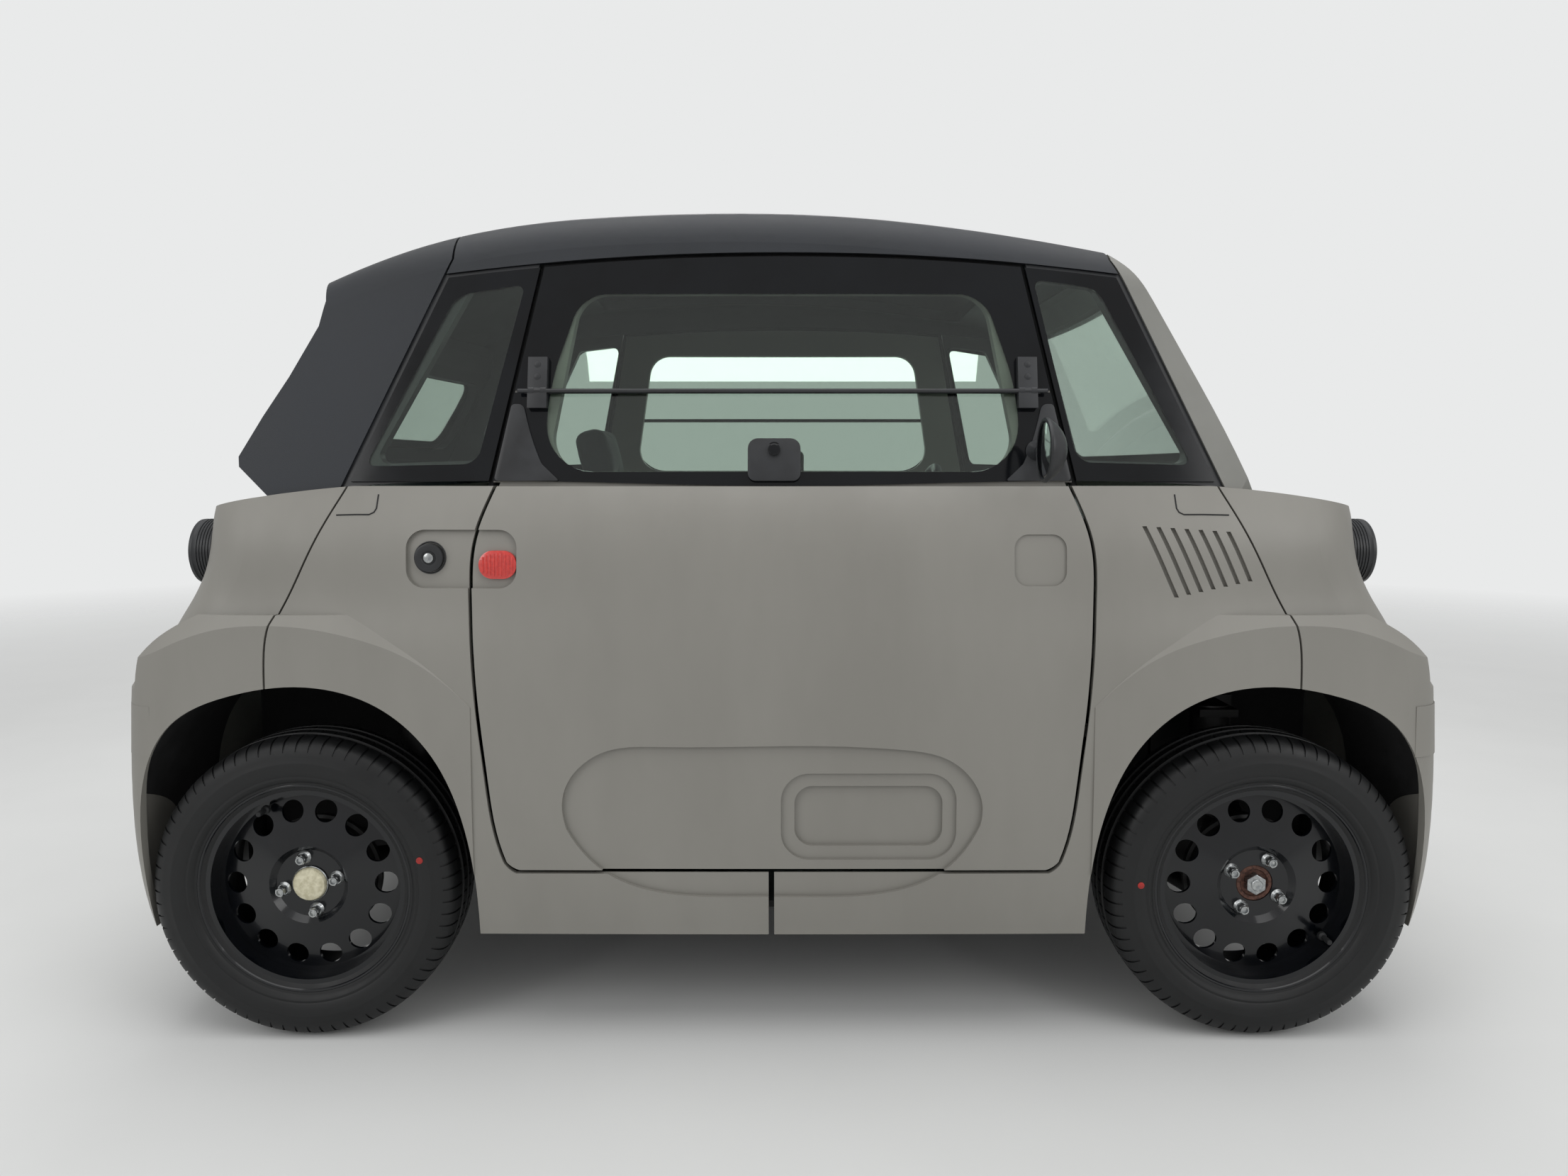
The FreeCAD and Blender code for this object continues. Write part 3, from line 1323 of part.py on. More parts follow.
knuckle = joined([right_plate(axle),
                  rod(Vector(axle, -d.kingpin_side, axle_height - d.knuckle_height / 2),
                      Vector(axle, -d.kingpin_side, axle_height + d.knuckle_height / 2),
                      d.kingpin_radius * 1.6)])
feature("knuckle_front_right", knuckle)
feature("knuckle_front_left", mirrored_y(knuckle))


# Cabin

def make_seat(place, side):
    """Cushion with the back and headrest above, on a plinth."""
    y = side * d.seat_side
    half = d.seat_width / 2
    cushion = block(place - d.seat_depth / 2, place + d.seat_depth / 2, y - half, y + half,
                    d.seat_height - d.seat_cushion_thick, d.seat_height)
    plinth = block(place - d.seat_depth / 2 + d.cut_over, place + d.seat_depth / 2 - d.cut_over,
                   y - half + d.cut_over, y + half - d.cut_over, floor_top,
                   d.seat_height - d.seat_cushion_thick)
    hinge = Vector(place - d.seat_depth / 2 + d.seat_back_thick / 2, y, d.seat_height - d.seat_cushion_thick / 2)
    back = block(hinge.x - d.seat_back_thick / 2, hinge.x + d.seat_back_thick / 2, y - half, y + half,
                 hinge.z, hinge.z + d.seat_back_tall)
    rest = block(hinge.x - d.seat_back_thick / 2, hinge.x + d.seat_back_thick / 2,
                 y - d.headrest_wide / 2, y + d.headrest_wide / 2, hinge.z + d.seat_back_tall,
                 hinge.z + d.seat_back_tall + d.headrest_tall)
    upright = joined([back, rest]).rotated(hinge, Vector(0, 1, 0), -d.seat_back_lean)
    return joined([cushion, plinth, upright])


feature("seat_driver", make_seat(d.driver_seat_place, 1))
feature("seat_passenger", make_seat(d.passenger_seat_place, -1))

dash_half = side_clear - d.cut_over
dash_foot = d.dash_top_height - d.dash_drop
dash_points = [on_xz(d.dash_place, dash_foot + d.cut_over), on_xz(d.dash_place - d.cut_over, d.dash_top_height - d.cut_over),
               on_xz(d.dash_place, d.dash_top_height), on_xz(d.quarter_foot_place + d.cut_over, d.dash_top_height),
               on_xz(d.quarter_foot_place + d.cut_over, dash_foot)]
dash_points[-1] = on_xz(d.quarter_foot_place + d.cut_over, d.shelf_height + d.tub_wall)
dash_points[0] = on_xz(d.dash_place, d.shelf_height + d.tub_wall)
dash = along_y(polygon(dash_points), -dash_half, dash_half)
feature("dashboard", dash)

wheel_centre = Vector(d.wheel_rim_place, d.seat_side, d.wheel_rim_height)
tilt = math.radians(d.wheel_tilt)
column_way = Vector(math.cos(tilt), 0, -math.sin(tilt))
column_start = wheel_centre + column_way * (d.wheel_rim_thick + d.seat_clearance)
column = rod(column_start, column_start + column_way * d.column_long, d.column_radius).cut(dash)
feature("steering_column", column)

pedals = []
for share in (-0.25, 0.25):
    y = d.seat_side * 0.8 + d.seat_side * share
    foot = Vector(d.pedal_place, y, floor_top)
    stem = rod(foot, foot + Vector(0, 0, d.seat_width * 0.3), d.kingpin_radius)
    pad = block(foot.x - d.cut_over * 0.6, foot.x, y - d.cut_over * 0.8, y + d.cut_over * 0.8,
                foot.z + d.seat_width * 0.25, foot.z + d.seat_width * 0.45)
    pedals.append(joined([stem, pad]))
feature("pedals", together(pedals))


# Turned parts, as sketches bound to the sheet

class Term:
    """A size with its number, for drawing, and its text, for binding to the sheet."""

    def __init__(self, text, number):
        self.text = text
        self.number = number

    def joined_with(self, other, sign, number):
        text = other.text if isinstance(other, Term) else str(other)
        return Term("(%s %s %s)" % (self.text, sign, text), number)

    def __add__(self, other):
        return self.joined_with(other, "+", self.number + number_of(other))

    def __sub__(self, other):
        return self.joined_with(other, "-", self.number - number_of(other))

    def __mul__(self, other):
        return self.joined_with(other, "*", self.number * number_of(other))

    def __truediv__(self, other):
        return self.joined_with(other, "/", self.number / number_of(other))

    def __neg__(self):
        return Term("(-%s)" % self.text, -self.number)


def number_of(other):
    return other.number if isinstance(other, Term) else other


s = types.SimpleNamespace(**{name: Term("Sizes." + name, float(sheet.get(name))) for name in SIZES})


def origin_item(body, role):
    return [item for item in body.Origin.OriginFeatures if item.Role == role][0]


def new_sketch(body, plane, name):
    sketch = body.newObject("Sketcher::SketchObject", name)
    sketch.AttachmentSupport = [(origin_item(body, plane), "")]
    sketch.MapMode = "FlatFace"
    return sketch


def draw_polygon(sketch, points):
    """Closed polygon whose every corner is bound to sheet expressions."""
    count = len(points)
    for i in range(count):
        first, second = points[i], points[(i + 1) % count]
        sketch.addGeometry(Part.LineSegment(Vector(first[0].number, first[1].number, 0),
                                            Vector(second[0].number, second[1].number, 0)))
    for i in range(count):
        sketch.addConstraint(Sketcher.Constraint("Coincident", i, 2, (i + 1) % count, 1))
    for i, (across, up) in enumerate(points):
        for kind, term in (("DistanceX", across), ("DistanceY", up)):
            index = sketch.addConstraint(Sketcher.Constraint(kind, -1, 1, i, 1, term.number))
            sketch.setExpression("Constraints[%d]" % index, term.text)


def turned_body(name, points):
    """Body turned about its own Y axis from a polygon of radius and place along the axle."""
    body = doc.addObject("PartDesign::Body", name)
    body.Label = name
    sketch = new_sketch(body, "XY_Plane", name + "_profile")
    draw_polygon(sketch, points)
    turning = body.newObject("PartDesign::Revolution", name + "_turning")
    turning.Profile = sketch
    turning.ReferenceAxis = (sketch, ["V_Axis"])
    turning.Angle = 360
    body.Tip = turning
    return body


tyre_half = s.tyre_width / 2
bead_radius = s.rim_barrel_radius + s.rim_wall + s.seat_clearance
TYRE_OUTER_SHARES = [
    # radial: share of the way from the bead to the tread; axial: share of half the width
    (0.00, 0.66), (0.17, 0.68), (0.20, 0.84), (0.31, 0.96), (0.48, 1.00), (0.72, 0.97), (0.90, 0.86),
    (0.975, 0.70), (1.00, 0.36),
]
TYRE_INNER_SHARES = [(0.86, 0.60), (0.80, 0.76), (0.48, 0.88), (0.24, 0.62), (0.00, 0.52)]
WHEEL_PLACES = [
    ("front_right", 1, -1), ("front_left", 1, 1), ("rear_right", -1, -1), ("rear_left", -1, 1),
]


def tyre_points():
    tall = s.tyre_radius - bead_radius
    outer = [(bead_radius + tall * up, tyre_half * along) for up, along in TYRE_OUTER_SHARES]
    inner = [(bead_radius + tall * up, tyre_half * along) for up, along in TYRE_INNER_SHARES]
    near = [(radius, -along) for radius, along in outer]
    far = [(radius, along) for radius, along in reversed(outer)]
    back = [(radius, along) for radius, along in reversed(inner)]
    home = [(radius, -along) for radius, along in inner]
    return near + far + back + home


def rim_points():
    """Rim section with its dished disc and hub; minus is the outer side of the wheel."""
    half = s.rim_width / 2
    wall = s.rim_wall
    barrel = s.rim_barrel_radius
    lip = s.rim_flange_radius
    face = -s.disc_face_out
    thick = s.disc_thick
    zero = s.rim_wall * 0
    return [
        (zero, face + s.hub_bore_deep), (s.hub_bore_radius, face + s.hub_bore_deep),
        (s.hub_bore_radius, face), (s.hub_radius, face), (s.hub_radius + wall * 2, face - wall * 2),
        (barrel - wall * 2, face + wall * 2), (barrel, face + wall * 2), (barrel, -half + wall),
        (lip - wall, -half + wall), (lip - wall, -half), (lip, -half), (lip, -half + wall * 1.6),
        (barrel + wall, -half + wall * 2), (barrel + wall, half - wall * 2), (lip, half - wall * 1.6),
        (lip, half), (lip - wall, half), (lip - wall, half - wall), (barrel, half - wall),
        (barrel, face + thick + wall * 2), (barrel - wall * 2, face + thick + wall * 2),
        (s.hub_radius + wall * 2, face - wall * 2 + thick), (s.hub_radius, face + thick),
        (s.hub_radius, face + s.hub_length), (zero, face + s.hub_length),
    ]


def make_rim(name):
    body = turned_body(name, rim_points())
    doc.recompute()
    sketch = new_sketch(body, "XZ_Plane", name + "_hole")
    circle = s.disc_hole_circle
    sketch.addGeometry(Part.Circle(Vector(circle.number, 0, 0), Vector(0, 0, 1), s.disc_hole_radius.number))
    index = sketch.addConstraint(Sketcher.Constraint("DistanceX", -1, 1, 0, 3, circle.number))
    sketch.setExpression("Constraints[%d]" % index, circle.text)
    sketch.addConstraint(Sketcher.Constraint("PointOnObject", 0, 3, -1))
    index = sketch.addConstraint(Sketcher.Constraint("Radius", 0, s.disc_hole_radius.number))
    sketch.setExpression("Constraints[%d]" % index, s.disc_hole_radius.text)
    doc.recompute()
    pocket = body.newObject("PartDesign::Pocket", name + "_hole_cut")
    pocket.Profile = sketch
    pocket.Type = 1
    pocket.Midplane = True
    doc.recompute()
    pattern = body.newObject("PartDesign::PolarPattern", name + "_holes")
    pattern.Originals = [pocket]
    pattern.Axis = (origin_item(body, "Y_Axis"), [""])
    pattern.Angle = 360
    pattern.setExpression("Occurrences", s.disc_hole_count.text)
    body.Tip = pattern
    return body


def seat_wheel(body, fore, side):
    body.setExpression("Placement.Base.x", "%d * Sizes.wheelbase / 2" % fore)
    body.setExpression("Placement.Base.y", "%d * Sizes.wheel_plane_side" % side)
    body.setExpression("Placement.Base.z", "Sizes.tyre_radius")
    if side > 0:
        body.Placement = Placement(body.Placement.Base, Rotation(Vector(0, 0, 1), 180))
    nodes.append(body)


for place, fore, side in WHEEL_PLACES:
    seat_wheel(turned_body("tyre_" + place, tyre_points()), fore, side)
    seat_wheel(make_rim("rim_" + place), fore, side)


# Steering wheel: a ring with a hub and three spokes

ring = Part.makeTorus(d.wheel_rim_radius, d.wheel_rim_thick)
hub = Part.makeCylinder(d.hub_bore_radius * 1.3, d.wheel_rim_thick * 2, Vector(0, 0, -d.wheel_rim_thick))
spokes = []
for angle in (0, 180, 270):
    spoke = block(0, d.wheel_rim_radius, -d.wheel_rim_thick, d.wheel_rim_thick, -d.wheel_rim_thick / 2,
                  d.wheel_rim_thick / 2)
    spokes.append(turned(spoke, angle))
wheel = joined([ring, hub] + spokes)
wheel = wheel.rotated(Vector(0, 0, 0), Vector(0, 1, 0), -90 + d.wheel_tilt).translated(wheel_centre)
feature("steering_wheel", wheel)

doc.recompute()
faults = []
for item in doc.Objects:
    if "Invalid" in item.State or "Error" in item.State:
        faults.append(item.Label + " is " + str(item.State))
for node in nodes:
    if node.Shape.isNull() or not node.Shape.isValid():
        faults.append(node.Label + " has a broken shape")
if faults:
    sys.exit("\n".join(faults))

os.makedirs("parts", exist_ok=True)
for node in nodes:
    node.Shape.exportStep(os.path.join("parts", node.Label + ".step"))
print("%d sub-parts written" % len(nodes))
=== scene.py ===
import json
import math

import bmesh
import bpy
from bpy.props import FloatProperty, FloatVectorProperty, IntProperty, PointerProperty
from mathutils import Matrix, Vector
from mathutils.bvhtree import BVHTree

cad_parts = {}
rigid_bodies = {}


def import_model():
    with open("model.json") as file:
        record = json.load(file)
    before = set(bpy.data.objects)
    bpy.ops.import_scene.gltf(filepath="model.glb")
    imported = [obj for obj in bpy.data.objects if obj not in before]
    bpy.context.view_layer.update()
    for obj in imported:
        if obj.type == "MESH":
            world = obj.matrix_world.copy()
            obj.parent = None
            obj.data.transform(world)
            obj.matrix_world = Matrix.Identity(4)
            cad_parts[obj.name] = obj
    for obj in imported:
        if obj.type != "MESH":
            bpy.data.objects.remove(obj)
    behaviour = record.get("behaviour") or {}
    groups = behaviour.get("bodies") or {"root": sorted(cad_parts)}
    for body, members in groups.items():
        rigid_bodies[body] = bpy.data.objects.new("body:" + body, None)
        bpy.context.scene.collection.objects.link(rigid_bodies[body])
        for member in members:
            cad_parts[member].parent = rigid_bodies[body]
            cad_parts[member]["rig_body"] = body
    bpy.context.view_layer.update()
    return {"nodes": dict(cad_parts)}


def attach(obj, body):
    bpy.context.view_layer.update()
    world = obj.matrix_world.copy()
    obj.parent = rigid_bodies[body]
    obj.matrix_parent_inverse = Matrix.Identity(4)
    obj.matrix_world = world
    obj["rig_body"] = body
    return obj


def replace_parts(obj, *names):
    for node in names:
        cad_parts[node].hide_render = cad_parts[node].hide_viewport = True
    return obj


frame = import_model()

bl_info = {
    "name": "Two-seat microcar",
    "version": (1, 0, 0),
    "blender": (4, 5, 0),
    "location": "View3D > Sidebar > Microcar",
    "description": "Panels, glass, wheels, lamps and cabin of a small electric two-seater",
    "category": "Object",
}

MM = 0.001
SIDES = {"right": -1, "left": 1}
WHEELS = {"front_right": (1, -1), "front_left": (1, 1), "rear_right": (-1, -1), "rear_left": (-1, 1)}


def linear(hex_colour):
    """An sRGB hex colour as linear red, green and blue."""
    parts = [int(hex_colour[i:i + 2], 16) / 255 for i in (1, 3, 5)]
    return tuple(p / 12.92 if p <= 0.04045 else ((p + 0.055) / 1.055) ** 2.4 for p in parts)


def colour(label, hex_colour, about):
    return FloatVectorProperty(name=label, description=about, subtype="COLOR", size=3,
                               min=0, max=1, default=linear(hex_colour))


def length(label, millimetres, about):
    return FloatProperty(name=label, description=about, unit="LENGTH", min=0, default=millimetres * MM)


class MicrocarFinishes(bpy.types.PropertyGroup):
    panel: colour("Panels", "#83817b", "Mass-dyed plastic of the body panels")
    panel_shade: colour("Panel shade", "#7d7b75", "Slightly weathered areas of the panels")
    roof: colour("Roof", "#202327", "Grained plastic of the roof and tail")
    trim: colour("Trim", "#1d1e20", "Black moulded trim")
    glass: colour("Glass tint", "#c8d4cc", "Grey-green tint of the side glass")
    frame: colour("Screen frame", "#7a7a75", "Lighter strip round the windscreen")
    tyre: colour("Tyre", "#0a0b0c", "Tyre rubber")
    wheel: colour("Wheel", "#040609", "Black enamel of the wheels")
    cloth: colour("Seat cloth", "#33363b", "Woven cloth of the seat pads")
    cabin: colour("Cabin", "#26282b", "Moulded cabin plastic")


class MicrocarSizes(bpy.types.PropertyGroup):
    axle: length("Axle place", 865, "Distance of each axle from mid-length")
    wheel_plane: length("Wheel plane", 590, "Distance of each wheel's middle from the centre line")
    axle_height: length("Axle height", 278.5, "Height of the wheel centres")
    tread_depth: length("Tread depth", 6, "Depth of the grooves round the tyre")
    tread_pitches: IntProperty(name="Tread pitches", description="Blocks round the tyre", default=72, min=24)
    bolt_circle: length("Bolt circle", 50, "Radius on which the four wheel bolts stand")
    lamp_side: length("Lamp side", 500, "Distance of each lamp from the centre line")
    lamp_height: length("Lamp height", 880, "Height of the lamp centres")
    lamp_face: length("Lamp face", 1098, "Distance of the lamp faces from mid-length")


class MicrocarStage(bpy.types.PropertyGroup):
    eye_back: length("Eye distance", 2540, "Distance of the lens from the centre line")
    eye_height: length("Eye height", 1034, "Height of the lens above the floor")
    dip: FloatProperty(name="Dip", description="Downward tilt of the view", subtype="ANGLE",
                       default=math.radians(4.58))
    lens: FloatProperty(name="Lens", description="Focal length on a 36 mm wide sensor", default=24.64)


def sizes():
    return bpy.context.scene.microcar_sizes


# Materials


def add(tree, kind, values=None, links=None, **fields):
    """Adds one shader node, sets its fields and sockets, and joins its inputs."""
    node = tree.nodes.new(kind)
    for key, value in fields.items():
        setattr(node, key, value)
    for key, value in (values or {}).items():
        node.inputs[key].default_value = value
    for key, source in (links or {}).items():
        tree.links.new(source, node.inputs[key])
    return node


def opaque(rgb):
    return (*rgb, 1.0)


def new_material(name):
    """An empty finish: the material, its tree, its shader and its object coordinates."""
    material = bpy.data.materials.new(name)
    material.use_nodes = True
    tree = material.node_tree
    place = add(tree, "ShaderNodeTexCoord").outputs["Object"]
    return material, tree, tree.nodes["Principled BSDF"], place


def noise(tree, place, size_mm, detail, roughness=0.5):
    """The cloudy factor of a noise texture whose patches have a real size."""
    values = {"Scale": 1 / (size_mm * MM), "Detail": detail, "Roughness": roughness}
    return add(tree, "ShaderNodeTexNoise", values, {"Vector": place}).outputs["Fac"]


def end_in_mix(tree, output, share, first, second):
    """Ends a tree in a mix of two shaders."""
    mixed = add(tree, "ShaderNodeMixShader", None, {0: share, 1: first, 2: second})
    tree.links.new(mixed.outputs["Shader"], tree.nodes[output].inputs["Surface"])


# Detail and roughness of the noises, and the span of the cloud that the mix runs over.
CLOUD_NOISE, GRAIN_NOISE = (4, 0.6), (3, 0.55)
CLOUD_SPAN = {"From Min": 0.35, "From Max": 0.65}
GLASS_INDEX, GLASS_HAZE, GLASS_HAZE_MM = 1.45, 0.03, 160


def surface(name, base, patch, patch_mm, grain_mm, grain_depth, rough, rough_spread, settings={},
            stretch=(1, 1, 1)):
    """A finish with cloudy colour, fine grain and uneven gloss, all in real sizes."""
    material, tree, shader, place = new_material(name)
    drawn = add(tree, "ShaderNodeMapping", {"Scale": stretch}, {"Vector": place})
    cloud = noise(tree, drawn.outputs["Vector"], patch_mm, *CLOUD_NOISE)
    share = add(tree, "ShaderNodeMapRange", CLOUD_SPAN, {"Value": cloud})
    mixed = add(tree, "ShaderNodeMix", {6: opaque(base), 7: opaque(patch)}, {0: share.outputs["Result"]},
                data_type="RGBA")
    tree.links.new(mixed.outputs[2], shader.inputs["Base Color"])
    spread = {"To Min": rough - rough_spread, "To Max": rough + rough_spread}
    gloss = add(tree, "ShaderNodeMapRange", {**CLOUD_SPAN, **spread}, {"Value": cloud})
    tree.links.new(gloss.outputs["Result"], shader.inputs["Roughness"])
    bump = add(tree, "ShaderNodeBump", {"Strength": 1.0, "Distance": grain_depth * MM},
               {"Height": noise(tree, place, grain_mm, *GRAIN_NOISE)})
    tree.links.new(bump.outputs["Normal"], shader.inputs["Normal"])
    for key, value in settings.items():
        shader.inputs[key].default_value = value
    return material


def glazing(name, tint, rough):
    """Clear sheet that lets the light through to the cabin."""
    material, tree, shader, place = new_material(name)
    film = add(tree, "ShaderNodeMapRange", {"To Min": rough, "To Max": rough + GLASS_HAZE},
               {"Value": noise(tree, place, GLASS_HAZE_MM, 3)})
    tree.links.new(film.outputs["Result"], shader.inputs["Roughness"])
    shader.inputs["Base Color"].default_value = opaque(tint)
    shader.inputs["Transmission Weight"].default_value = 1.0
    shader.inputs["IOR"].default_value = GLASS_INDEX
    passing = add(tree, "ShaderNodeLightPath")
    clear = add(tree, "ShaderNodeBsdfTransparent", {"Color": opaque(tint)})
    end_in_mix(tree, "Material Output", passing.outputs["Is Shadow Ray"], shader.outputs["BSDF"],
               clear.outputs["BSDF"])
    return material


# Each opaque finish: the material's name, its colour and patch colour (a hex, or one of the add-on's colours),
# the sizes of its patches and grain and the grain's depth in millimetres, its roughness and how far that strays.
OPAQUE = {
    # Mass-dyed ABS, vacuum formed: dull satin with a faint cloud and no clear coat.
    "panel": ("moulded_abs_warm_grey", "panel", "panel_shade", 260, 1.6, 0.05, 0.5, 0.06, {}, (1, 1, 0.35)),
    "frame": ("moulded_abs_light_grey", "frame", "#73736e", 260, 1.6, 0.05, 0.5, 0.06),
    # Grained polypropylene: pits about a millimetre wide that break up the shine.
    "roof": ("grained_polypropylene_charcoal", "roof", "#272a2f", 300, 1.1, 0.22, 0.5, 0.05,
             {"Specular IOR Level": 0.35}),
    # Smoked acrylic over a black ceiling: a dim sheen that keeps dark at a glancing view.
    "roof_pane": ("smoked_acrylic_roof_pane", "#25272c", "#2b2d32", 400, 30, 0.02, 0.36, 0.04,
                  {"Specular IOR Level": 0.3}),
    # Injection moulded black polypropylene: fine spark-eroded texture.
    "trim": ("moulded_polypropylene_black", "trim", "#26282b", 90, 0.9, 0.08, 0.45, 0.08),
    # Black ceramic print under polished glass: deep gloss with nothing behind it.
    "border": ("ceramic_print_under_glass", "#0b0c0e", "#101215", 200, 40, 0.02, 0.1, 0.03,
               {"Specular IOR Level": 0.28}),
    # Carbon-black rubber: matt, dusty on the high parts, slightly greasy in the mould marks.
    "tyre": ("moulded_tyre_rubber", "tyre", "#131415", 55, 1.4, 0.1, 0.52, 0.08, {"Specular IOR Level": 0.4}),
    # Electro-dipped black enamel on pressed steel: smooth soft gloss.
    "wheel": ("enamelled_pressed_steel", "wheel", "#07090e", 70, 9, 0.03, 0.22, 0.05,
              {"Specular IOR Level": 0.32, "Coat Weight": 0.35, "Coat Roughness": 0.06}),
    # Zinc-plated steel: bright grey with small dull spots.
    "zinc": ("zinc_plated_steel", "#b4b6b5", "#8f9294", 6, 1.2, 0.03, 0.3, 0.1, {"Metallic": 1.0}),
    # Painted dust cap: cream with handling marks.
    "cap": ("painted_dust_cap_cream", "#d2cdb4", "#b4ae92", 9, 1.5, 0.05, 0.5, 0.12),
    # Bare cast hub, rusted: brown scale with darker pits.
    "rust": ("rusted_cast_iron", "#5d3a2c", "#331f19", 6, 1.2, 0.25, 0.75, 0.12),
    # Aluminium casting, shot blasted.
    "alloy": ("blasted_cast_aluminium", "#8d9093", "#76797c", 30, 1.1, 0.12, 0.5, 0.08, {"Metallic": 0.9}),
    # Black dip paint on the frame: semi-gloss with road dust.
    "chassis": ("dip_painted_steel", "#18191a", "#262625", 60, 2.2, 0.06, 0.5, 0.15),
    # Needle-punched and moulded liner: dull and fibrous.
    "liner": ("moulded_fibre_liner", "#141415", "#1f1f20", 35, 1.3, 0.3, 0.85, 0.06),
    "battery": ("painted_battery_case", "#2f3236", "#383b40", 80, 1.5, 0.06, 0.5, 0.08),
    # Soft-grain cabin plastic.
    "cabin": ("moulded_cabin_plastic", "cabin", "#2f3135", 120, 1.2, 0.1, 0.5, 0.06),
    # Rubber extrusion: deep matt black.
    "seal": ("extruded_rubber_seal", "#0f1011", "#17181a", 40, 1.5, 0.05, 0.7, 0.1),
    # Vacuum-metallised bowl of a lamp.
    "mirror": ("metallised_reflector", "#d9dbdc", "#cdd0d2", 20, 8, 0.02, 0.08, 0.03, {"Metallic": 1.0}),
    # Prismed acrylic reflector.
    "reflector": ("prismed_red_reflector", "#b5211b", "#cc3026", 5, 2.2, 0.35, 0.16, 0.05,
                  {"Coat Weight": 1.0, "Coat Roughness": 0.04}),
    "red_paint": ("red_marking_paint", "#a3231c", "#8c1d18", 8, 1.1, 0.02, 0.5, 0.1),
    # Woven polyester seat cloth: close weave with a soft sheen.
    "cloth": ("woven_seat_cloth", "cloth", "#3b3e44", 45, 1.3, 0.35, 0.85, 0.06, {"Sheen Weight": 0.35}),
}
# Each clear finish: the material's name, its tint and its least roughness.
CLEAR = {
    "tinted": ("tinted_glass_pane", "glass", 0.0),
    "screen": ("laminated_glass_screen", "#d8e2dc", 0.0),
    "lens": ("clear_polycarbonate_lens", "#eef2f2", 0.02),
    "red_lens": ("red_polycarbonate_lens", "#c01a1a", 0.05),
}
finish_of = {}


def tone(key):
    """A colour by its hex or by its name among the add-on's colours."""
    return linear(key) if key.startswith("#") else getattr(bpy.context.scene.microcar_finishes, key)


def make_finishes():
    """Every finish of the car, named for its material and how it was made."""
    for key, (name, base, patch, *rest) in OPAQUE.items():
        finish_of[key] = surface(name, tone(base), tone(patch), *rest)
    for key, (name, tint, rough) in CLEAR.items():
        finish_of[key] = glazing(name, tone(tint), rough)


NODE_FINISH = {
    "panel": ("nose_panel", "fender", "door_panel"),
    "frame": ("windscreen_frame",),
    "roof": ("roof_shell", "tail_panel"),
    "trim": ("pillar_frames", "door_openers", "lamp_housings", "window_hinges", "mirror", "pedals"),
    "tinted": ("door_glass", "quarter_windows", "rear_window"),
    "roof_pane": ("roof_glass",),
    "screen": ("windscreen",),
    "lens": ("headlamp_lenses",),
    "red_lens": ("taillamp_lenses",),
    "tyre": ("tyre",),
    "wheel": ("rim",),
    "chassis": ("chassis_rails", "cross_members", "front_control_arms", "rear_suspension",
                "door_hinge_posts"),
    "alloy": ("motor_unit", "knuckle"),
    "battery": ("battery_pack",),
    "liner": ("front_wheel_liners", "rear_wheel_liners", "floor_pan", "footwell", "front_bay", "rear_bay"),
    "cabin": ("dashboard", "steering_column", "steering_wheel", "seat"),
}


def finish_for(node):
    """The finish of a part, by the longest name in the list that the part's name starts with."""
    found = [(len(start), key) for key, starts in NODE_FINISH.items() for start in starts
             if node.startswith(start)]
    return finish_of[max(found)[1]]


# Mesh helpers


# Turns of the surface, in degrees, from which an edge is drawn sharp.
SHARP_DEGREES, TREAD_DEGREES, LAMP_DEGREES = 32, 28, 50


def smooth(bm, degrees):
    """Smooth faces with sharp edges where the surface turns by more than the angle."""
    for face in bm.faces:
        face.smooth = True
    for edge in bm.edges:
        if len(edge.link_faces) == 2:
            edge.smooth = edge.calc_face_angle(0) < math.radians(degrees)
    return bm


def placed(name, data):
    """A new object of the scene that shows some data."""
    made = bpy.data.objects.new(name, data)
    bpy.context.scene.collection.objects.link(made)
    return made


def mesh_of(name, bm):
    """Turns a bmesh into a mesh and frees it."""
    mesh = bpy.data.meshes.new(name)
    bm.to_mesh(mesh)
    bm.free()
    return mesh


def piece(name, bm, finish, body, degrees=SHARP_DEGREES):
    """Turns a bmesh into a finished object that rides on a body."""
    made = placed(name, mesh_of(name, smooth(bm, degrees)))
    made.data.materials.append(finish_of[finish])
    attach(made, body)
    return made


def applied(made):
    """Replaces the object's mesh by what its modifiers make of it."""
    shown = made.evaluated_get(bpy.context.evaluated_depsgraph_get())
    mesh = bpy.data.meshes.new_from_object(shown)
    made.modifiers.clear()
    made.data = mesh


MERGE_DISTANCE, SPUN_MERGE_DISTANCE = 0.01 * MM, 0.005 * MM
CORNER_STEPS = 8


def merged_copy(node):
    """A closed bmesh of a part, with its loose triangles joined."""
    bm = bmesh.new()
    bm.from_mesh(frame["nodes"][node].data)
    bmesh.ops.remove_doubles(bm, verts=bm.verts, dist=MERGE_DISTANCE)
    return bm


def rounded_face(points, radii, plane="XZ"):
    """One face through points in millimetres, its corners rounded each by its own radius."""
    bm = bmesh.new()
    level = [(across, 0, up) if plane == "XZ" else (0, across, up) for across, up in points]
    verts = [bm.verts.new(Vector(point) * MM) for point in level]
    bm.faces.new(verts)
    for vert, radius in zip(verts, radii):
        if radius:
            bmesh.ops.bevel(bm, geom=[vert], offset=radius * MM, segments=CORNER_STEPS, profile=0.5,
                            affect="VERTICES", material=-1, offset_type="OFFSET")
    return bm


def thickened(bm, way):
    """Extrudes all faces along a vector into a closed solid."""
    grown = bmesh.ops.extrude_face_region(bm, geom=bm.faces[:])["geom"]
    bmesh.ops.translate(bm, verts=[v for v in grown if isinstance(v, bmesh.types.BMVert)], vec=way)
    bmesh.ops.recalc_face_normals(bm, faces=bm.faces)
    return bm


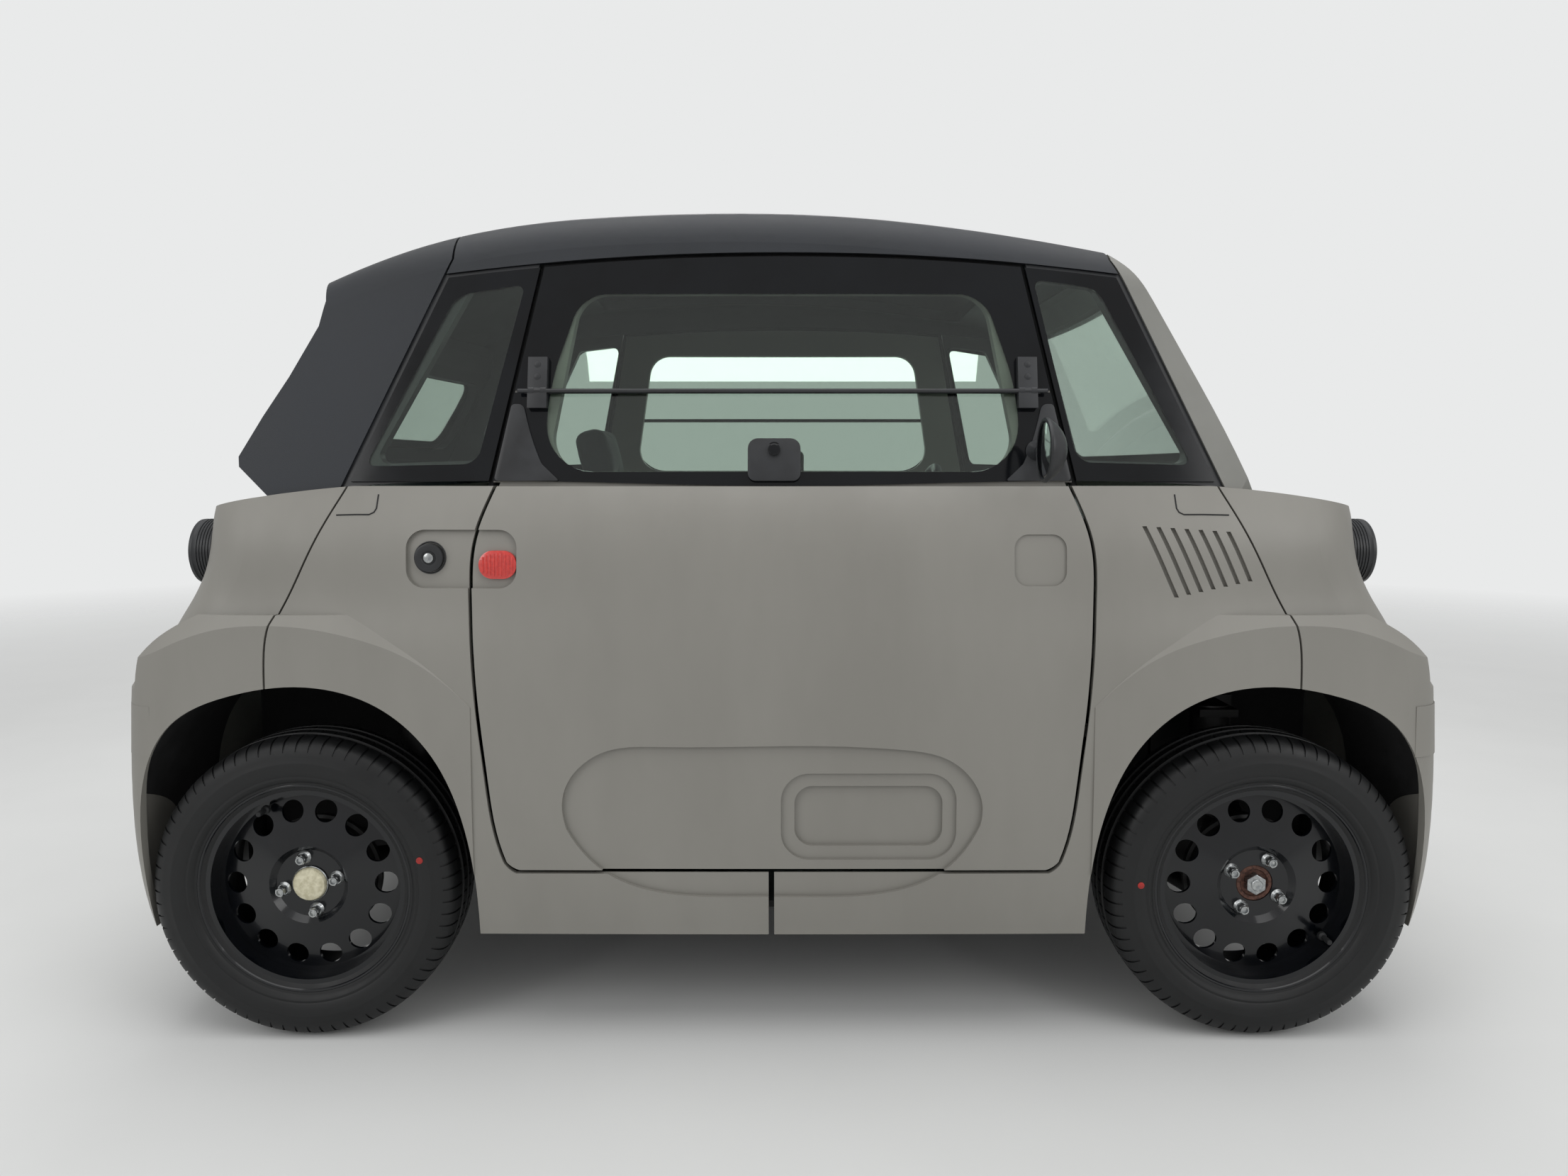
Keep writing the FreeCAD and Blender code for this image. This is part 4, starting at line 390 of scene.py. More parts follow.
def carve(name, bm, cutter, operation):
    """What a boolean leaves of a bmesh and a cutter's solid, as a new bmesh."""
    objects = []
    for each in (bm, cutter):
        mesh = bpy.data.meshes.new(name)
        each.to_mesh(mesh)
        objects.append(placed(name, mesh))
    cut = objects[0].modifiers.new("cut", "BOOLEAN")
    cut.operation = operation
    cut.solver = "EXACT"
    cut.object = objects[1]
    applied(objects[0])
    result = bmesh.new()
    result.from_mesh(objects[0].data)
    for made in objects:
        bpy.data.objects.remove(made)
    return result


def lathe(points, steps, closed=False):
    """Spins a profile of (radius, place along Y) round the Y axis, in millimetres."""
    bm = bmesh.new()
    verts = [bm.verts.new((r * MM, y * MM, 0)) for r, y in points]
    edges = [bm.edges.new(ends) for ends in zip(verts, verts[1:])]
    if closed:
        edges.append(bm.edges.new((verts[-1], verts[0])))
    bmesh.ops.spin(bm, geom=verts + edges, cent=(0, 0, 0), axis=(0, 1, 0), angle=2 * math.pi, steps=steps,
                   use_merge=True)
    bmesh.ops.remove_doubles(bm, verts=bm.verts, dist=SPUN_MERGE_DISTANCE)
    bmesh.ops.recalc_face_normals(bm, faces=bm.faces)
    return bm


def join_into(bm, other, matrix=Matrix.Identity(4)):
    """Adds a placed copy of another bmesh to a bmesh."""
    mesh = bpy.data.meshes.new("part")
    other.to_mesh(mesh)
    mesh.transform(matrix)
    if matrix.determinant() < 0:
        mesh.flip_normals()
    bm.from_mesh(mesh)
    bpy.data.meshes.remove(mesh)
    return bm


def moved(bm, matrix):
    """A placed copy of a bmesh."""
    return join_into(bmesh.new(), bm, matrix)


def half_turn(side):
    """Where a right-hand piece belongs on a side: as it is, or turned half round about Z."""
    return Matrix.Rotation(math.pi, 4, "Z") if side == "left" else Matrix.Identity(4)


def pair(name, bm, finish, body):
    """A right-hand piece and its turned copy on the left, riding on the body or on the doors."""
    for side in SIDES:
        rider = body + side if body.endswith("_") else body
        piece(name + "_" + side, moved(bm, half_turn(side)), finish, rider)
    bm.free()


def spun_pair(name, profile, steps, place, finish, body, closed=False):
    """A profile spun and placed on the right, and its turned copy on the left."""
    pair(name, moved(lathe(profile, steps, closed), place), finish, body)


def tube(points, radius, closed=False, sides=10):
    """Round bar along points in metres."""
    points = [Vector(point) for point in points]
    count = len(points)
    bm = bmesh.new()
    rings = []
    side = None
    for i, point in enumerate(points):
        ahead = points[(i + 1) % count] if closed or i < count - 1 else point
        behind = points[i - 1] if closed or i else point
        way = (ahead - behind).normalized()
        side = (side - way * side.dot(way)).normalized() if side else way.orthogonal().normalized()
        over = way.cross(side)
        turns = [2 * math.pi * j / sides for j in range(sides)]
        rings.append([bm.verts.new(point + (side * math.cos(t) + over * math.sin(t)) * radius) for t in turns])
    pairs = list(zip(rings, rings[1:])) + ([(rings[-1], rings[0])] if closed else [])
    for first, second in pairs:
        for j in range(sides):
            k = (j + 1) % sides
            bm.faces.new((first[j], first[k], second[k], second[j]))
    if not closed:
        bm.faces.new(rings[0])
        bm.faces.new(rings[-1])
    bmesh.ops.recalc_face_normals(bm, faces=bm.faces)
    return bm


RIM_ANGLE = 0.8


def plate(outline, radii, thick, edge):
    """Flat plate drawn in XZ, its back at y = 0 and the rim of its outer face softened, in millimetres."""
    bm = thickened(rounded_face(outline, radii), Vector((0, -thick * MM, 0)))
    rim = [e for e in bm.edges
           if e.calc_face_angle(0) > RIM_ANGLE and all(v.co.y < -thick * MM / 2 for v in e.verts)]
    bmesh.ops.bevel(bm, geom=rim, offset=edge * MM, segments=2, profile=0.6, affect="EDGES")
    return bm


# The side windows, in metres: their place at mid-length and the waist, how far they bow in
# at a place along the car, and how far they lean in for each metre of height.
WAIST = 1.005
WAIST_SIDE = 0.625
WINDOW_BOW, WINDOW_BOW_PLACE = 0.018, 0.79
WINDOW_LEAN = 0.2


def window_side(x, z):
    """Distance of the leaning side windows from the centre line, in metres."""
    return WAIST_SIDE - WINDOW_BOW * (x / WINDOW_BOW_PLACE) ** 2 - WINDOW_LEAN * (z - WAIST)


def on_window(x, z, out=0):
    """Moves a piece made round Y to a place on the right side windows, or farther out."""
    return Matrix.Translation((x, -window_side(x, z) - out, z))


def leaned(bm):
    """Lays a piece drawn over y = 0 onto the right side windows."""
    for vert in bm.verts:
        vert.co.y -= window_side(vert.co.x, vert.co.z)
    return bm


# A ray at the right side starts this far out, and takes the other place on a miss, in metres.
RAY_START = 2
PANEL_SIDE = 0.66
trees = {}


def tree_of(node):
    """The search tree of a part, built once."""
    if node not in trees:
        bm = merged_copy(node)
        trees[node] = BVHTree.FromBMesh(bm)
        bm.free()
    return trees[node]


def side_hit(node, x, z):
    """Place along Y where the right side of a part is met, or the usual one where it is missed."""
    hit = tree_of(node).ray_cast(Vector((x, -RAY_START, z)), Vector((0, 1, 0)))[0]
    return hit.y if hit else -PANEL_SIDE


def draped(bm, node):
    """Lays a piece drawn over y = 0 onto the right side of a part."""
    for vert in bm.verts:
        vert.co.y += side_hit(node, vert.co.x, vert.co.z)
    return bm


def facing(way):
    """Turns a piece spun round Y so that its outer end, at -Y, points along a direction."""
    return Vector((0, -1, 0)).rotation_difference(Vector(way)).to_matrix().to_4x4()


# Windows

# Clear parts of the panes: corner points and corner radii in millimetres.
DOOR_CLEAR = ([(-366, 1353), (366, 1353), (424, 1175), (424, 1030), (-424, 1030), (-424, 1175)],
              [46, 46, 60, 85, 85, 60])
FRONT_QUARTER_CLEAR = ([(458, 1381), (575, 1365), (737, 1042), (529, 1047)], [18, 24, 20, 26])
REAR_QUARTER_CLEAR = ([(-470, 1372), (-596, 1352), (-752, 1040), (-548, 1044)], [18, 24, 20, 26])
SCREEN_CLEAR = ([(-500, 1070), (500, 1070), (478, 1372), (-478, 1372)], [60, 60, 50, 50])
TAIL_CLEAR = ([(-480, 1112), (480, 1112), (470, 1268), (-470, 1268)], [36, 36, 30, 30])

# Where the cutters of the panes start and how far they reach, in metres.
SIDE_START = {"right": -0.75, "left": 0.45}
SIDE_REACH = 0.3
SCREEN_START, SCREEN_REACH = 0.5, 0.6
TAIL_START, TAIL_REACH = -0.6, -0.6


def side_prism(outline, side):
    """Cutter of a clear pane in one side of the car."""
    prism = rounded_face(*outline)
    bmesh.ops.translate(prism, verts=prism.verts, vec=(0, SIDE_START[side], 0))
    return thickened(prism, Vector((0, SIDE_REACH, 0)))


def end_prism(outline, start, reach):
    """Cutter of a clear pane across the front or the rear of the car."""
    prism = rounded_face(*outline, "YZ")
    bmesh.ops.translate(prism, verts=prism.verts, vec=(start, 0, 0))
    return thickened(prism, Vector((reach, 0, 0)))


def glaze(node, prisms, pane, border, finish):
    """Splits a glass part into its clear pane and its black printed border."""
    cutter = bmesh.new()
    for prism in prisms:
        join_into(cutter, prism)
    solid = merged_copy(node)
    body = frame["nodes"][node]["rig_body"]
    for name, operation, look in ((pane, "INTERSECT", finish), (border, "DIFFERENCE", "border")):
        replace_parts(piece(name, carve(name, solid, cutter, operation), look, body), node)


class MICROCAR_OT_windows(bpy.types.Operator):
    """Cuts each window into its clear pane and its black printed border"""
    bl_idname = "microcar.windows"
    bl_label = "Windows"

    def execute(self, context):
        for side in SIDES:
            glaze("door_glass_" + side, [side_prism(DOOR_CLEAR, side)], "door_pane_" + side,
                  "door_border_" + side, "tinted")
        quarters = []
        for side, sign in SIDES.items():
            for points, radii in (FRONT_QUARTER_CLEAR, REAR_QUARTER_CLEAR):
                turned = [(x * -sign, z) for x, z in points]
                quarters.append(side_prism((turned, radii), side))
        glaze("quarter_windows", quarters, "quarter_panes", "quarter_borders", "tinted")
        glaze("windscreen", [end_prism(SCREEN_CLEAR, SCREEN_START, SCREEN_REACH)], "windscreen_pane",
              "windscreen_border", "screen")
        glaze("rear_window", [end_prism(TAIL_CLEAR, TAIL_START, TAIL_REACH)], "rear_pane", "rear_border",
              "tinted")
        return {"FINISHED"}


# Tyres and wheels

# Outer half of the tyre's section as (radius, place across) in millimetres, from the bead to the tread.
TYRE_HALF = [(178, 57), (183, 61), (190, 64.5), (197, 67), (201, 71.5), (206, 73.6), (210, 73.2), (213, 75.2),
             (224, 77.2), (232, 77.9), (233, 78), (235, 78), (236, 77.6), (246, 76.4), (254, 74.2), (261, 71.2),
             (266, 67.6), (270, 63.4), (273, 58), (275, 51), (275.9, 47)]
# Points across the tread as (place, place whose crown height they take, whether at a groove's bottom).
TREAD_STEPS = [(44, 44, False), (33, 33, False), (31, 33, True), (25, 25, True), (23, 23, False), (12, 12, False),
               (5, 5, False), (3.6, 5, True)]
CROWN_RADIUS, CROWN_DROP, CROWN_HALF = 278.3, 2.4, 47
# The tread's pitch is a block and a narrow cut, which runs across two bands of the tread on each side.
BLOCK_SHARE = 0.84
CUT_FROM_RADIUS = 257
CUT_BANDS = ((34, 76), (8, 20))
CUT_DEPTH_SHARE = 0.55


def tyre_section(depth):
    """Profile from the outer bead over the grooved tread to the inner bead."""
    half = list(TYRE_HALF)
    for place, height_place, bottom in TREAD_STEPS:
        crown = CROWN_RADIUS - CROWN_DROP * (height_place / CROWN_HALF) ** 2
        half.append((crown - depth if bottom else crown, place))
    return half + [(r, -w) for r, w in reversed(half)]


def in_cut(face, pitch):
    """True for a face of the narrow cut between two tread blocks."""
    middle = face.calc_center_median()
    turn = abs(math.atan2(middle.z, middle.x))
    radius = math.hypot(middle.x, middle.z) / MM
    across = abs(middle.y) / MM
    banded = any(near < across < far for near, far in CUT_BANDS)
    return turn > pitch * BLOCK_SHARE and radius > CUT_FROM_RADIUS and banded


def tyre_bmesh():
    """One pitch of the tread with its cut, repeated round the wheel."""
    own = sizes()
    count = own.tread_pitches
    pitch = 2 * math.pi / count
    bm = bmesh.new()
    verts = [bm.verts.new((r * MM, y * MM, 0)) for r, y in tyre_section(own.tread_depth / MM)]
    edges = [bm.edges.new(ends) for ends in zip(verts, verts[1:])]
    last = verts + edges
    for share, steps in ((BLOCK_SHARE, 2), (1 - BLOCK_SHARE, 1)):
        last = bmesh.ops.spin(bm, geom=last, cent=(0, 0, 0), axis=(0, 1, 0), angle=pitch * share,
                              steps=steps)["geom_last"]
    cuts = [face for face in bm.faces if in_cut(face, pitch)]
    sunk = bmesh.ops.extrude_face_region(bm, geom=cuts)["geom"]
    bmesh.ops.delete(bm, geom=cuts, context="FACES")
    for vert in (g for g in sunk if isinstance(g, bmesh.types.BMVert)):
        away = Vector((vert.co.x, 0, vert.co.z)).normalized()
        vert.co -= away * own.tread_depth * CUT_DEPTH_SHARE
    bmesh.ops.spin(bm, geom=bm.verts[:] + bm.edges[:] + bm.faces[:], cent=(0, 0, 0), axis=(0, 1, 0),
                   angle=2 * math.pi - pitch, steps=count - 1, use_duplicate=True)
    bmesh.ops.remove_doubles(bm, verts=bm.verts, dist=MERGE_DISTANCE)
    bmesh.ops.recalc_face_normals(bm, faces=bm.faces)
    return bm


def wheel_matrix(name, turn=0):
    """Places a wheel piece made round the Y axis, its outer face at -Y, at one wheel."""
    own = sizes()
    along, side = WHEELS[name]
    place = Vector((along * own.axle, side * own.wheel_plane, own.axle_height))
    flip = half_turn("left" if side > 0 else "right")
    return Matrix.Translation(place) @ flip @ Matrix.Rotation(turn, 4, "Y")


class MICROCAR_OT_tyres(bpy.types.Operator):
    """Moulds the four tyres with ribs, grooves and shoulder sipes"""
    bl_idname = "microcar.tyres"
    bl_label = "Tyres"

    def execute(self, context):
        pattern = tyre_bmesh()
        for name in WHEELS:
            made = piece("tread_" + name, moved(pattern, wheel_matrix(name)), "tyre", "wheel_" + name,
                         TREAD_DEGREES)
            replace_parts(made, "tyre_" + name)
        pattern.free()
        return {"FINISHED"}


# Profiles of spun pieces as (radius, place along the axle) in millimetres, the outside at minus.
BOLT_SEAT = [(0, -35), (13.5, -35), (13.5, -38), (10, -42), (0, -42)]
BOLT_END = [(0, -52), (5, -52), (5.4, -56.5), (7.4, -56.5), (8.2, -54), (8.2, -48)]
BOLT_RADIUS, BOLT_SPAN = 9.8, (-54, -38)
VALVE_STEM = [(0, -40), (8, -40), (7.5, -46), (4.6, -49), (4.4, -58), (0, -58)]
VALVE_CAP = [(0, -57), (4.9, -57), (5.1, -60), (4.9, -70), (4.2, -71.5), (0, -71.5)]
BALANCE_DOT = [(0, -78.4), (5.5, -78.4), (6, -78.1), (6, -74), (0, -74)]
RIM_BEAD = [(187.5, -63.5), (189, -65.6), (192, -66.2), (194.4, -64.6), (194.6, -62), (190, -60.8)]
BRAKE_DRUM = [(0, -18), (52, -18), (58, -15), (100, -15), (106, -10), (108, 6), (114, 8), (114, 18), (104, 20),
              (66, 20)]
HUB_CAP = [(0, -48), (14, -47.8), (24, -46.8), (28.5, -45), (30.5, -41.5), (30.5, -25), (0, -25)]
HUB_RING = [(31, -26), (31, -39), (31.8, -40), (33, -39), (33.2, -26)]
HUB_FACE = [(0, -31), (24, -31), (26, -35), (31.5, -35.5), (33.2, -34), (33.2, -24.5), (0, -24.5)]
NUT_RADIUS, NUT_SPAN = 19.6, (-46, -31)
STUB_END = [(0, -50), (9.5, -50), (10.5, -49), (10.5, -44), (0, -44)]
VALVE_RADIUS = 158
DOT_RADIUS = 222


def hexagon(radius, span):
    """A bolt head or nut standing along Y over a span, its edges chamfered."""
    bm = bmesh.new()
    bmesh.ops.create_cone(bm, cap_ends=True, segments=6, radius1=radius * MM, radius2=radius * MM,
                          depth=(span[1] - span[0]) * MM)
    bmesh.ops.rotate(bm, verts=bm.verts, cent=(0, 0, 0), matrix=Matrix.Rotation(math.pi / 2, 3, "X"))
    bmesh.ops.translate(bm, verts=bm.verts, vec=(0, sum(span) / 2 * MM, 0))
    bmesh.ops.bevel(bm, geom=bm.edges[:], offset=radius * 0.1 * MM, segments=2, profile=0.5, affect="EDGES",
                    material=-1)
    return bm


def bolt_mesh():
    """Wheel bolt: a conical seat, a hexagon and a hollow end."""
    bm = hexagon(BOLT_RADIUS, BOLT_SPAN)
    join_into(bm, lathe(BOLT_SEAT, 24))
    return join_into(bm, lathe(BOLT_END, 24))


# How far each wheel's bolts, valve and paint dot stand turned, in degrees.
BOLT_TURNS = {"front_right": 61, "front_left": 20, "rear_right": 12, "rear_left": 47}
VALVE_TURNS = {"front_right": -38, "front_left": 70, "rear_right": 118, "rear_left": -100}
DOT_TURNS = {"front_right": 177, "front_left": 60, "rear_right": 15, "rear_left": -120}


def on_wheel(name, degrees, radius_mm):
    """Places a piece made at the wheel's heart at a radius and an angle from the forward line."""
    return wheel_matrix(name, -math.radians(degrees)) @ Matrix.Translation((radius_mm * MM, 0, 0))


def on_axle(label, name, pattern, finish, place=None):
    """Fits a copy of a pattern to one wheel, in the wheel's middle where no place is given."""
    piece(label + name, moved(pattern, place or wheel_matrix(name)), finish, "wheel_" + name)


class MICROCAR_OT_wheels(bpy.types.Operator):
    """Fits wheel bolts, dust caps, hub nuts, brake drums, valves and balance dots"""
    bl_idname = "microcar.wheels"
    bl_label = "Wheel fittings"

    def execute(self, context):
        bolt = bolt_mesh()
        valve = join_into(lathe(VALVE_STEM, 20), lathe(VALVE_CAP, 20))
        nut = join_into(hexagon(NUT_RADIUS, NUT_SPAN), lathe(STUB_END, 24))
        circle = sizes().bolt_circle / MM
        for name, (along, _) in WHEELS.items():
            bolts = bmesh.new()
            for quarter in range(4):
                join_into(bolts, bolt, on_wheel(name, BOLT_TURNS[name] + quarter * 90, circle))
            piece("wheel_bolts_" + name, bolts, "zinc", "wheel_" + name)
            on_axle("rim_bead_", name, lathe(RIM_BEAD, 96, closed=True), "wheel")
            on_axle("brake_drum_", name, lathe(BRAKE_DRUM, 64), "chassis")
            on_axle("valve_", name, valve, "seal", on_wheel(name, VALVE_TURNS[name], VALVE_RADIUS))
            on_axle("balance_dot_", name, lathe(BALANCE_DOT, 24), "red_paint",
                    on_wheel(name, DOT_TURNS[name], DOT_RADIUS))
            if along < 0:
                on_axle("hub_cap_", name, lathe(HUB_CAP, 48), "cap")
                on_axle("hub_ring_", name, lathe(HUB_RING, 48, closed=True), "zinc")
            else:
                on_axle("hub_face_", name, lathe(HUB_FACE, 48), "rust")
                on_axle("hub_nut_", name, nut, "zinc")
        return {"FINISHED"}


# Lamps


def lamp_matrix(side, end):
    """Places a lamp piece spun round Y, its outer end at -Y, at a front or rear lamp."""
    own = sizes()
    place = Matrix.Translation((own.lamp_face, side * own.lamp_side, own.lamp_height)) @ facing((1, 0, 0))
    return place if end == "front" else Matrix.Rotation(math.pi, 4, "Z") @ place


# Profiles of the lamps as (radius, depth behind the lamp's face) in millimetres.
LENS_RADIUS = 47.4
LENS_RINGS = 48
LENS_FRONT, LENS_BOW = 3.5, 3.2
LENS_RIPPLE, LENS_RIPPLE_PITCH = 0.55, 5.9
LENS_BACK = [(LENS_RADIUS, 10.5), (0, 8.5)]
LAMP_BOWL = [(8, 56), (20, 53), (32, 45), (41, 32), (46.6, 14), (47.6, 14), (42.6, 33), (33, 47), (20, 55),
             (8, 58)]
LAMP_BULB = [(0, 34), (4, 35), (6.5, 41), (6.5, 49), (5, 59), (0, 59)]
LAMP_BEZEL = [(47.9, 7), (48.6, -1), (51, -3.5), (57, -3.8), (60.8, -1.5), (61.3, 4), (60.2, 6), (60.2, 11)]
LAMP_RIB = [(60.05, 3), (61.4, 2.4), (61.4, 0.6), (60.05, 0)]
RIB_COUNT, RIB_FIRST, RIB_PITCH = 8, 10, 5.4


def ribbed_lens():
    """Shallow dome with moulded rings over a reflector bowl."""
    outer = []
    for i in range(LENS_RINGS + 1):
        r = LENS_RADIUS * i / LENS_RINGS
        ripple = LENS_RIPPLE * math.cos(2 * math.pi * r / LENS_RIPPLE_PITCH)
        outer.append((r, LENS_FRONT + LENS_BOW * (r / LENS_RADIUS) ** 2 - ripple))
    return lathe(outer + LENS_BACK, 64)


def ribbed_bezel():
    """Ring round the lens and the ribs round the housing behind it."""
    bezel = lathe(LAMP_BEZEL, 64, closed=True)
    for step in range(RIB_COUNT):
        place = RIB_FIRST + RIB_PITCH * step
        join_into(bezel, lathe([(r, place + y) for r, y in LAMP_RIB], 64, closed=True))
    return bezel


class MICROCAR_OT_lamps(bpy.types.Operator):
    """Builds the lamps: metallised bowls, bulbs, ringed lenses and ridged bezels"""
    bl_idname = "microcar.lamps"
    bl_label = "Lamps"

    def execute(self, context):
        patterns = {"lenses": ribbed_lens(), "bowls": lathe(LAMP_BOWL, 48, closed=True),
                    "bulbs": lathe(LAMP_BULB, 24), "bezels": ribbed_bezel()}
        for end, finish, slot, node in (("front", "lens", "lamp_clear", "headlamp_lenses"),
                                        ("rear", "red_lens", "lamp_red", "taillamp_lenses")):
            parts = {}
            for key, pattern in patterns.items():
                parts[key] = bmesh.new()
                for side in (-1, 1):
                    join_into(parts[key], pattern, lamp_matrix(side, end))
            for key, look in (("lenses", finish), ("bowls", "mirror"), ("bulbs", "lens")):
                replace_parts(piece(end + "_lamp_" + key, parts[key], look, "body", LAMP_DEGREES), node)
            piece(end + "_lamp_bezels", parts["bezels"], "trim", "body")
        return {"FINISHED"}


# Fittings

# Edges sharper than this many degrees and longer than this many millimetres are rounded.
SHARP_EDGE, SHORT_EDGE = 60, 8
HINGE_ROUNDING = 2.4


def softened(node, offset_mm, finish):
    """A copy of a part with its long sharp edges rounded, in the part's place."""
    bm = merged_copy(node)
    bmesh.ops.dissolve_limit(bm, angle_limit=math.radians(2), verts=bm.verts, edges=bm.edges)
    sharp = [edge for edge in bm.edges
             if edge.calc_face_angle(0) > math.radians(SHARP_EDGE) and edge.calc_length() > SHORT_EDGE * MM]
    bmesh.ops.bevel(bm, geom=sharp, offset=offset_mm * MM, segments=3, profile=0.5, affect="EDGES",
                    material=-1, clamp_overlap=True)
    bmesh.ops.triangulate(bm, faces=bm.faces)
    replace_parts(piece("soft_" + node, bm, finish, frame["nodes"][node]["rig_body"]), node)


# The skins over the bumper's corners, in metres and degrees: the upright line that the rays aim at, the
# levels that they meet, how far round the corner they go, where they start and what they take on a miss.
CORNER_HEART = (1.1, 0.6)
CORNER_LEVELS = (0.528, 0.618)
CORNER_MIDDLE, CORNER_SPREAD = 45, 33
CORNER_START, CORNER_MISS = 0.3, 0.08
SKIN_OUT, SKIN_THICK = 0.0004, 0.0012


def corner_fill(node, along, across):
    """Thin skin over the corner of the bumper, between the levels below and above a thin place."""
    heart = Vector((CORNER_HEART[0] * along, CORNER_HEART[1] * across, 0))
    bm = bmesh.new()
    bmesh.ops.create_grid(bm, x_segments=16, y_segments=8, size=1)
    for vert in bm.verts:
        turn = math.radians(CORNER_MIDDLE + CORNER_SPREAD * vert.co.x)
        way = Vector((math.cos(turn) * along, math.sin(turn) * across, 0))
        ends = []
        for level in CORNER_LEVELS:
            middle = heart + Vector((0, 0, level))
            hit = tree_of(node).ray_cast(middle + way * CORNER_START, -way)[0]
            ends.append(hit or middle + way * CORNER_MISS)
        vert.co = ends[0].lerp(ends[1], (vert.co.y + 1) / 2) + way * SKIN_OUT
    bmesh.ops.recalc_face_normals(bm, faces=bm.faces)
    bmesh.ops.solidify(bm, geom=bm.faces[:], thickness=SKIN_THICK)
    bmesh.ops.recalc_face_normals(bm, faces=bm.faces)
    return bm


# Flat pieces on the right door: outline, corner radii, thickness and edge rounding, in millimetres.
PANE_SEAL = ([(-466, 1170.5), (466, 1170.5), (464, 1179.5), (-464, 1179.5)], [2] * 4, 1.2, 0.4)
CORNER_TRIM = [(398, 1014), (516, 1014), (488, 1152), (466, 1152), (448, 1075), (430, 1044)]
CORNER_TRIM_EDGES = ([6, 8, 6, 10, 60, 30], 4, 1)
LATCH_PLATE = ([(-62, 1014), (32, 1014), (32, 1090), (-62, 1090)], [14, 14, 18, 18], 10, 2)
DOOR_RIM = [(-526, 1003), (-482, 1215), (-440, 1409), (-215, 1423), (0, 1427), (215, 1423), (440, 1409),
            (482, 1215), (526, 1003)]
SEAL_DEEP, SEAL_RADIUS = 24 * MM, 7 * MM

# Profiles of spun pieces as (radius, place along the axis) in millimetres, the outside at minus.
LATCH_KNOB = [(0, -19), (8.5, -19), (10.6, -17.5), (11, -15), (11, -8), (13.5, -8), (13.5, -5), (0, -5)]
HINGE_BARREL = [(0, -17), (7.6, -17), (8.6, -16), (8.6, -6), (8, -5.4), (8, 5.4), (8.6, 6), (8.6, 16),
                (7.6, 17), (0, 17)]
HINGE_SCREW = [(0, -17.6), (3, -17.4), (5.6, -16.2), (6, -14.6), (6, -12), (0, -12)]
MIRROR_FACE = [(0, -0.8), (46, -0.8), (47.5, -0.2), (47.5, 1), (0, 1)]
MIRROR_RIM = [(47.6, -2.2), (50, -3.2), (54.4, -2), (55.4, 1.5), (54.6, 4), (52, 2)]
MIRROR_FOOT = [(0, -24), (9, -24), (12, -16), (17, -8), (20, -3.6), (0, -3.6)]
OPENER_DISH = [(0, -1.2), (11, -1.2), (13, -3), (22, -3.8), (24.4, -3), (25, 0.4), (0, 0.4)]
OPENER_CORE = [(0, -5.4), (6, -5.1), (8.4, -4), (9, -2.4), (9, -1), (0, -1)]

# Places on the right side, in metres.
KNOB_PLACE = (-0.015, 1.07)
HINGE_ALONG, HINGE_HEIGHT, HINGE_OUT = 0.44, 1.175, 0.0085
SCREW_HEIGHTS = (1.2, 1.222)
MIRROR_HEAD = (0.443, -0.72, 1.067)
MIRROR_FOOT_PLACE = (0.455, 1.067)
OPENER_ALONG, OPENER_HEIGHT = -0.62, 0.88
OPENER_RADIUS, OPENER_LINE, OPENER_SUNK = 0.0275, 0.0014, 0.0006
LID_LINE, LID_SUNK = 0.0013, 0.0002

# Side reflector and the lines of the lids, in millimetres.
REFLECTOR_ENDS, REFLECTOR_LEVELS, REFLECTOR_RADIUS = (-533, -465), (843, 893), 24.5
REFLECTOR_MIDDLE, REFLECTOR_HEIGHT, REFLECTOR_DEPTH = -499, 868, 7
RIB_HALF, RIB_TALL, RIB_ROUND_HALF, RIB_OUT = 1.4, 20, 36, 1.2
REFLECTOR_RIBS, REFLECTOR_FIRST, REFLECTOR_PITCH = 9, -525, 6.5
LID_ENDS = (("front", 697, 790), ("rear", -719, -790))
LID_CORNER = 12
LID_LEVELS = (990, 978, 966, 959, 955, 955, 954)


def window_fittings():
    """Seal between the panes, corner trims, skins over the bumper's corners and the doors' seals."""
    pair("pane_seal", leaned(plate(*PANE_SEAL)), "seal", "door_")
    trims = bmesh.new()
    for sign in (1, -1):
        join_into(trims, plate([(x * sign, z) for x, z in CORNER_TRIM], *CORNER_TRIM_EDGES))
    pair("window_corner_trim", leaned(trims), "trim", "door_")
    for end, along in (("front", 1), ("rear", -1)):
        corners = bmesh.new()
        for across in (-1, 1):
            join_into(corners, corner_fill("nose_panel_" + end, along, across))
        piece("bumper_corners_" + end, corners, "panel", "body")
    seal = [(x * MM, SEAL_DEEP - window_side(x * MM, z * MM), z * MM) for x, z in DOOR_RIM]
    pair("door_seal", tube(seal, SEAL_RADIUS), "seal", "body")


def flap_fittings():
    """Latch and hinges of the side window's flap."""
    pair("flap_latch_plate", leaned(plate(*LATCH_PLATE)), "trim", "door_")
    spun_pair("flap_latch_knob", LATCH_KNOB, 32, on_window(*KNOB_PLACE), "border", "door_")
    for side in SIDES:
        softened("window_hinges_" + side, HINGE_ROUNDING, "trim")
    barrels = bmesh.new()
    for x in (-HINGE_ALONG, HINGE_ALONG):
        join_into(barrels, lathe(HINGE_BARREL, 24), on_window(x, HINGE_HEIGHT, HINGE_OUT) @ facing((1, 0, 0)))
        for z in SCREW_HEIGHTS:
            join_into(barrels, lathe(HINGE_SCREW, 24), on_window(x, z))
    pair("window_hinge_barrels", barrels, "trim", "door_")


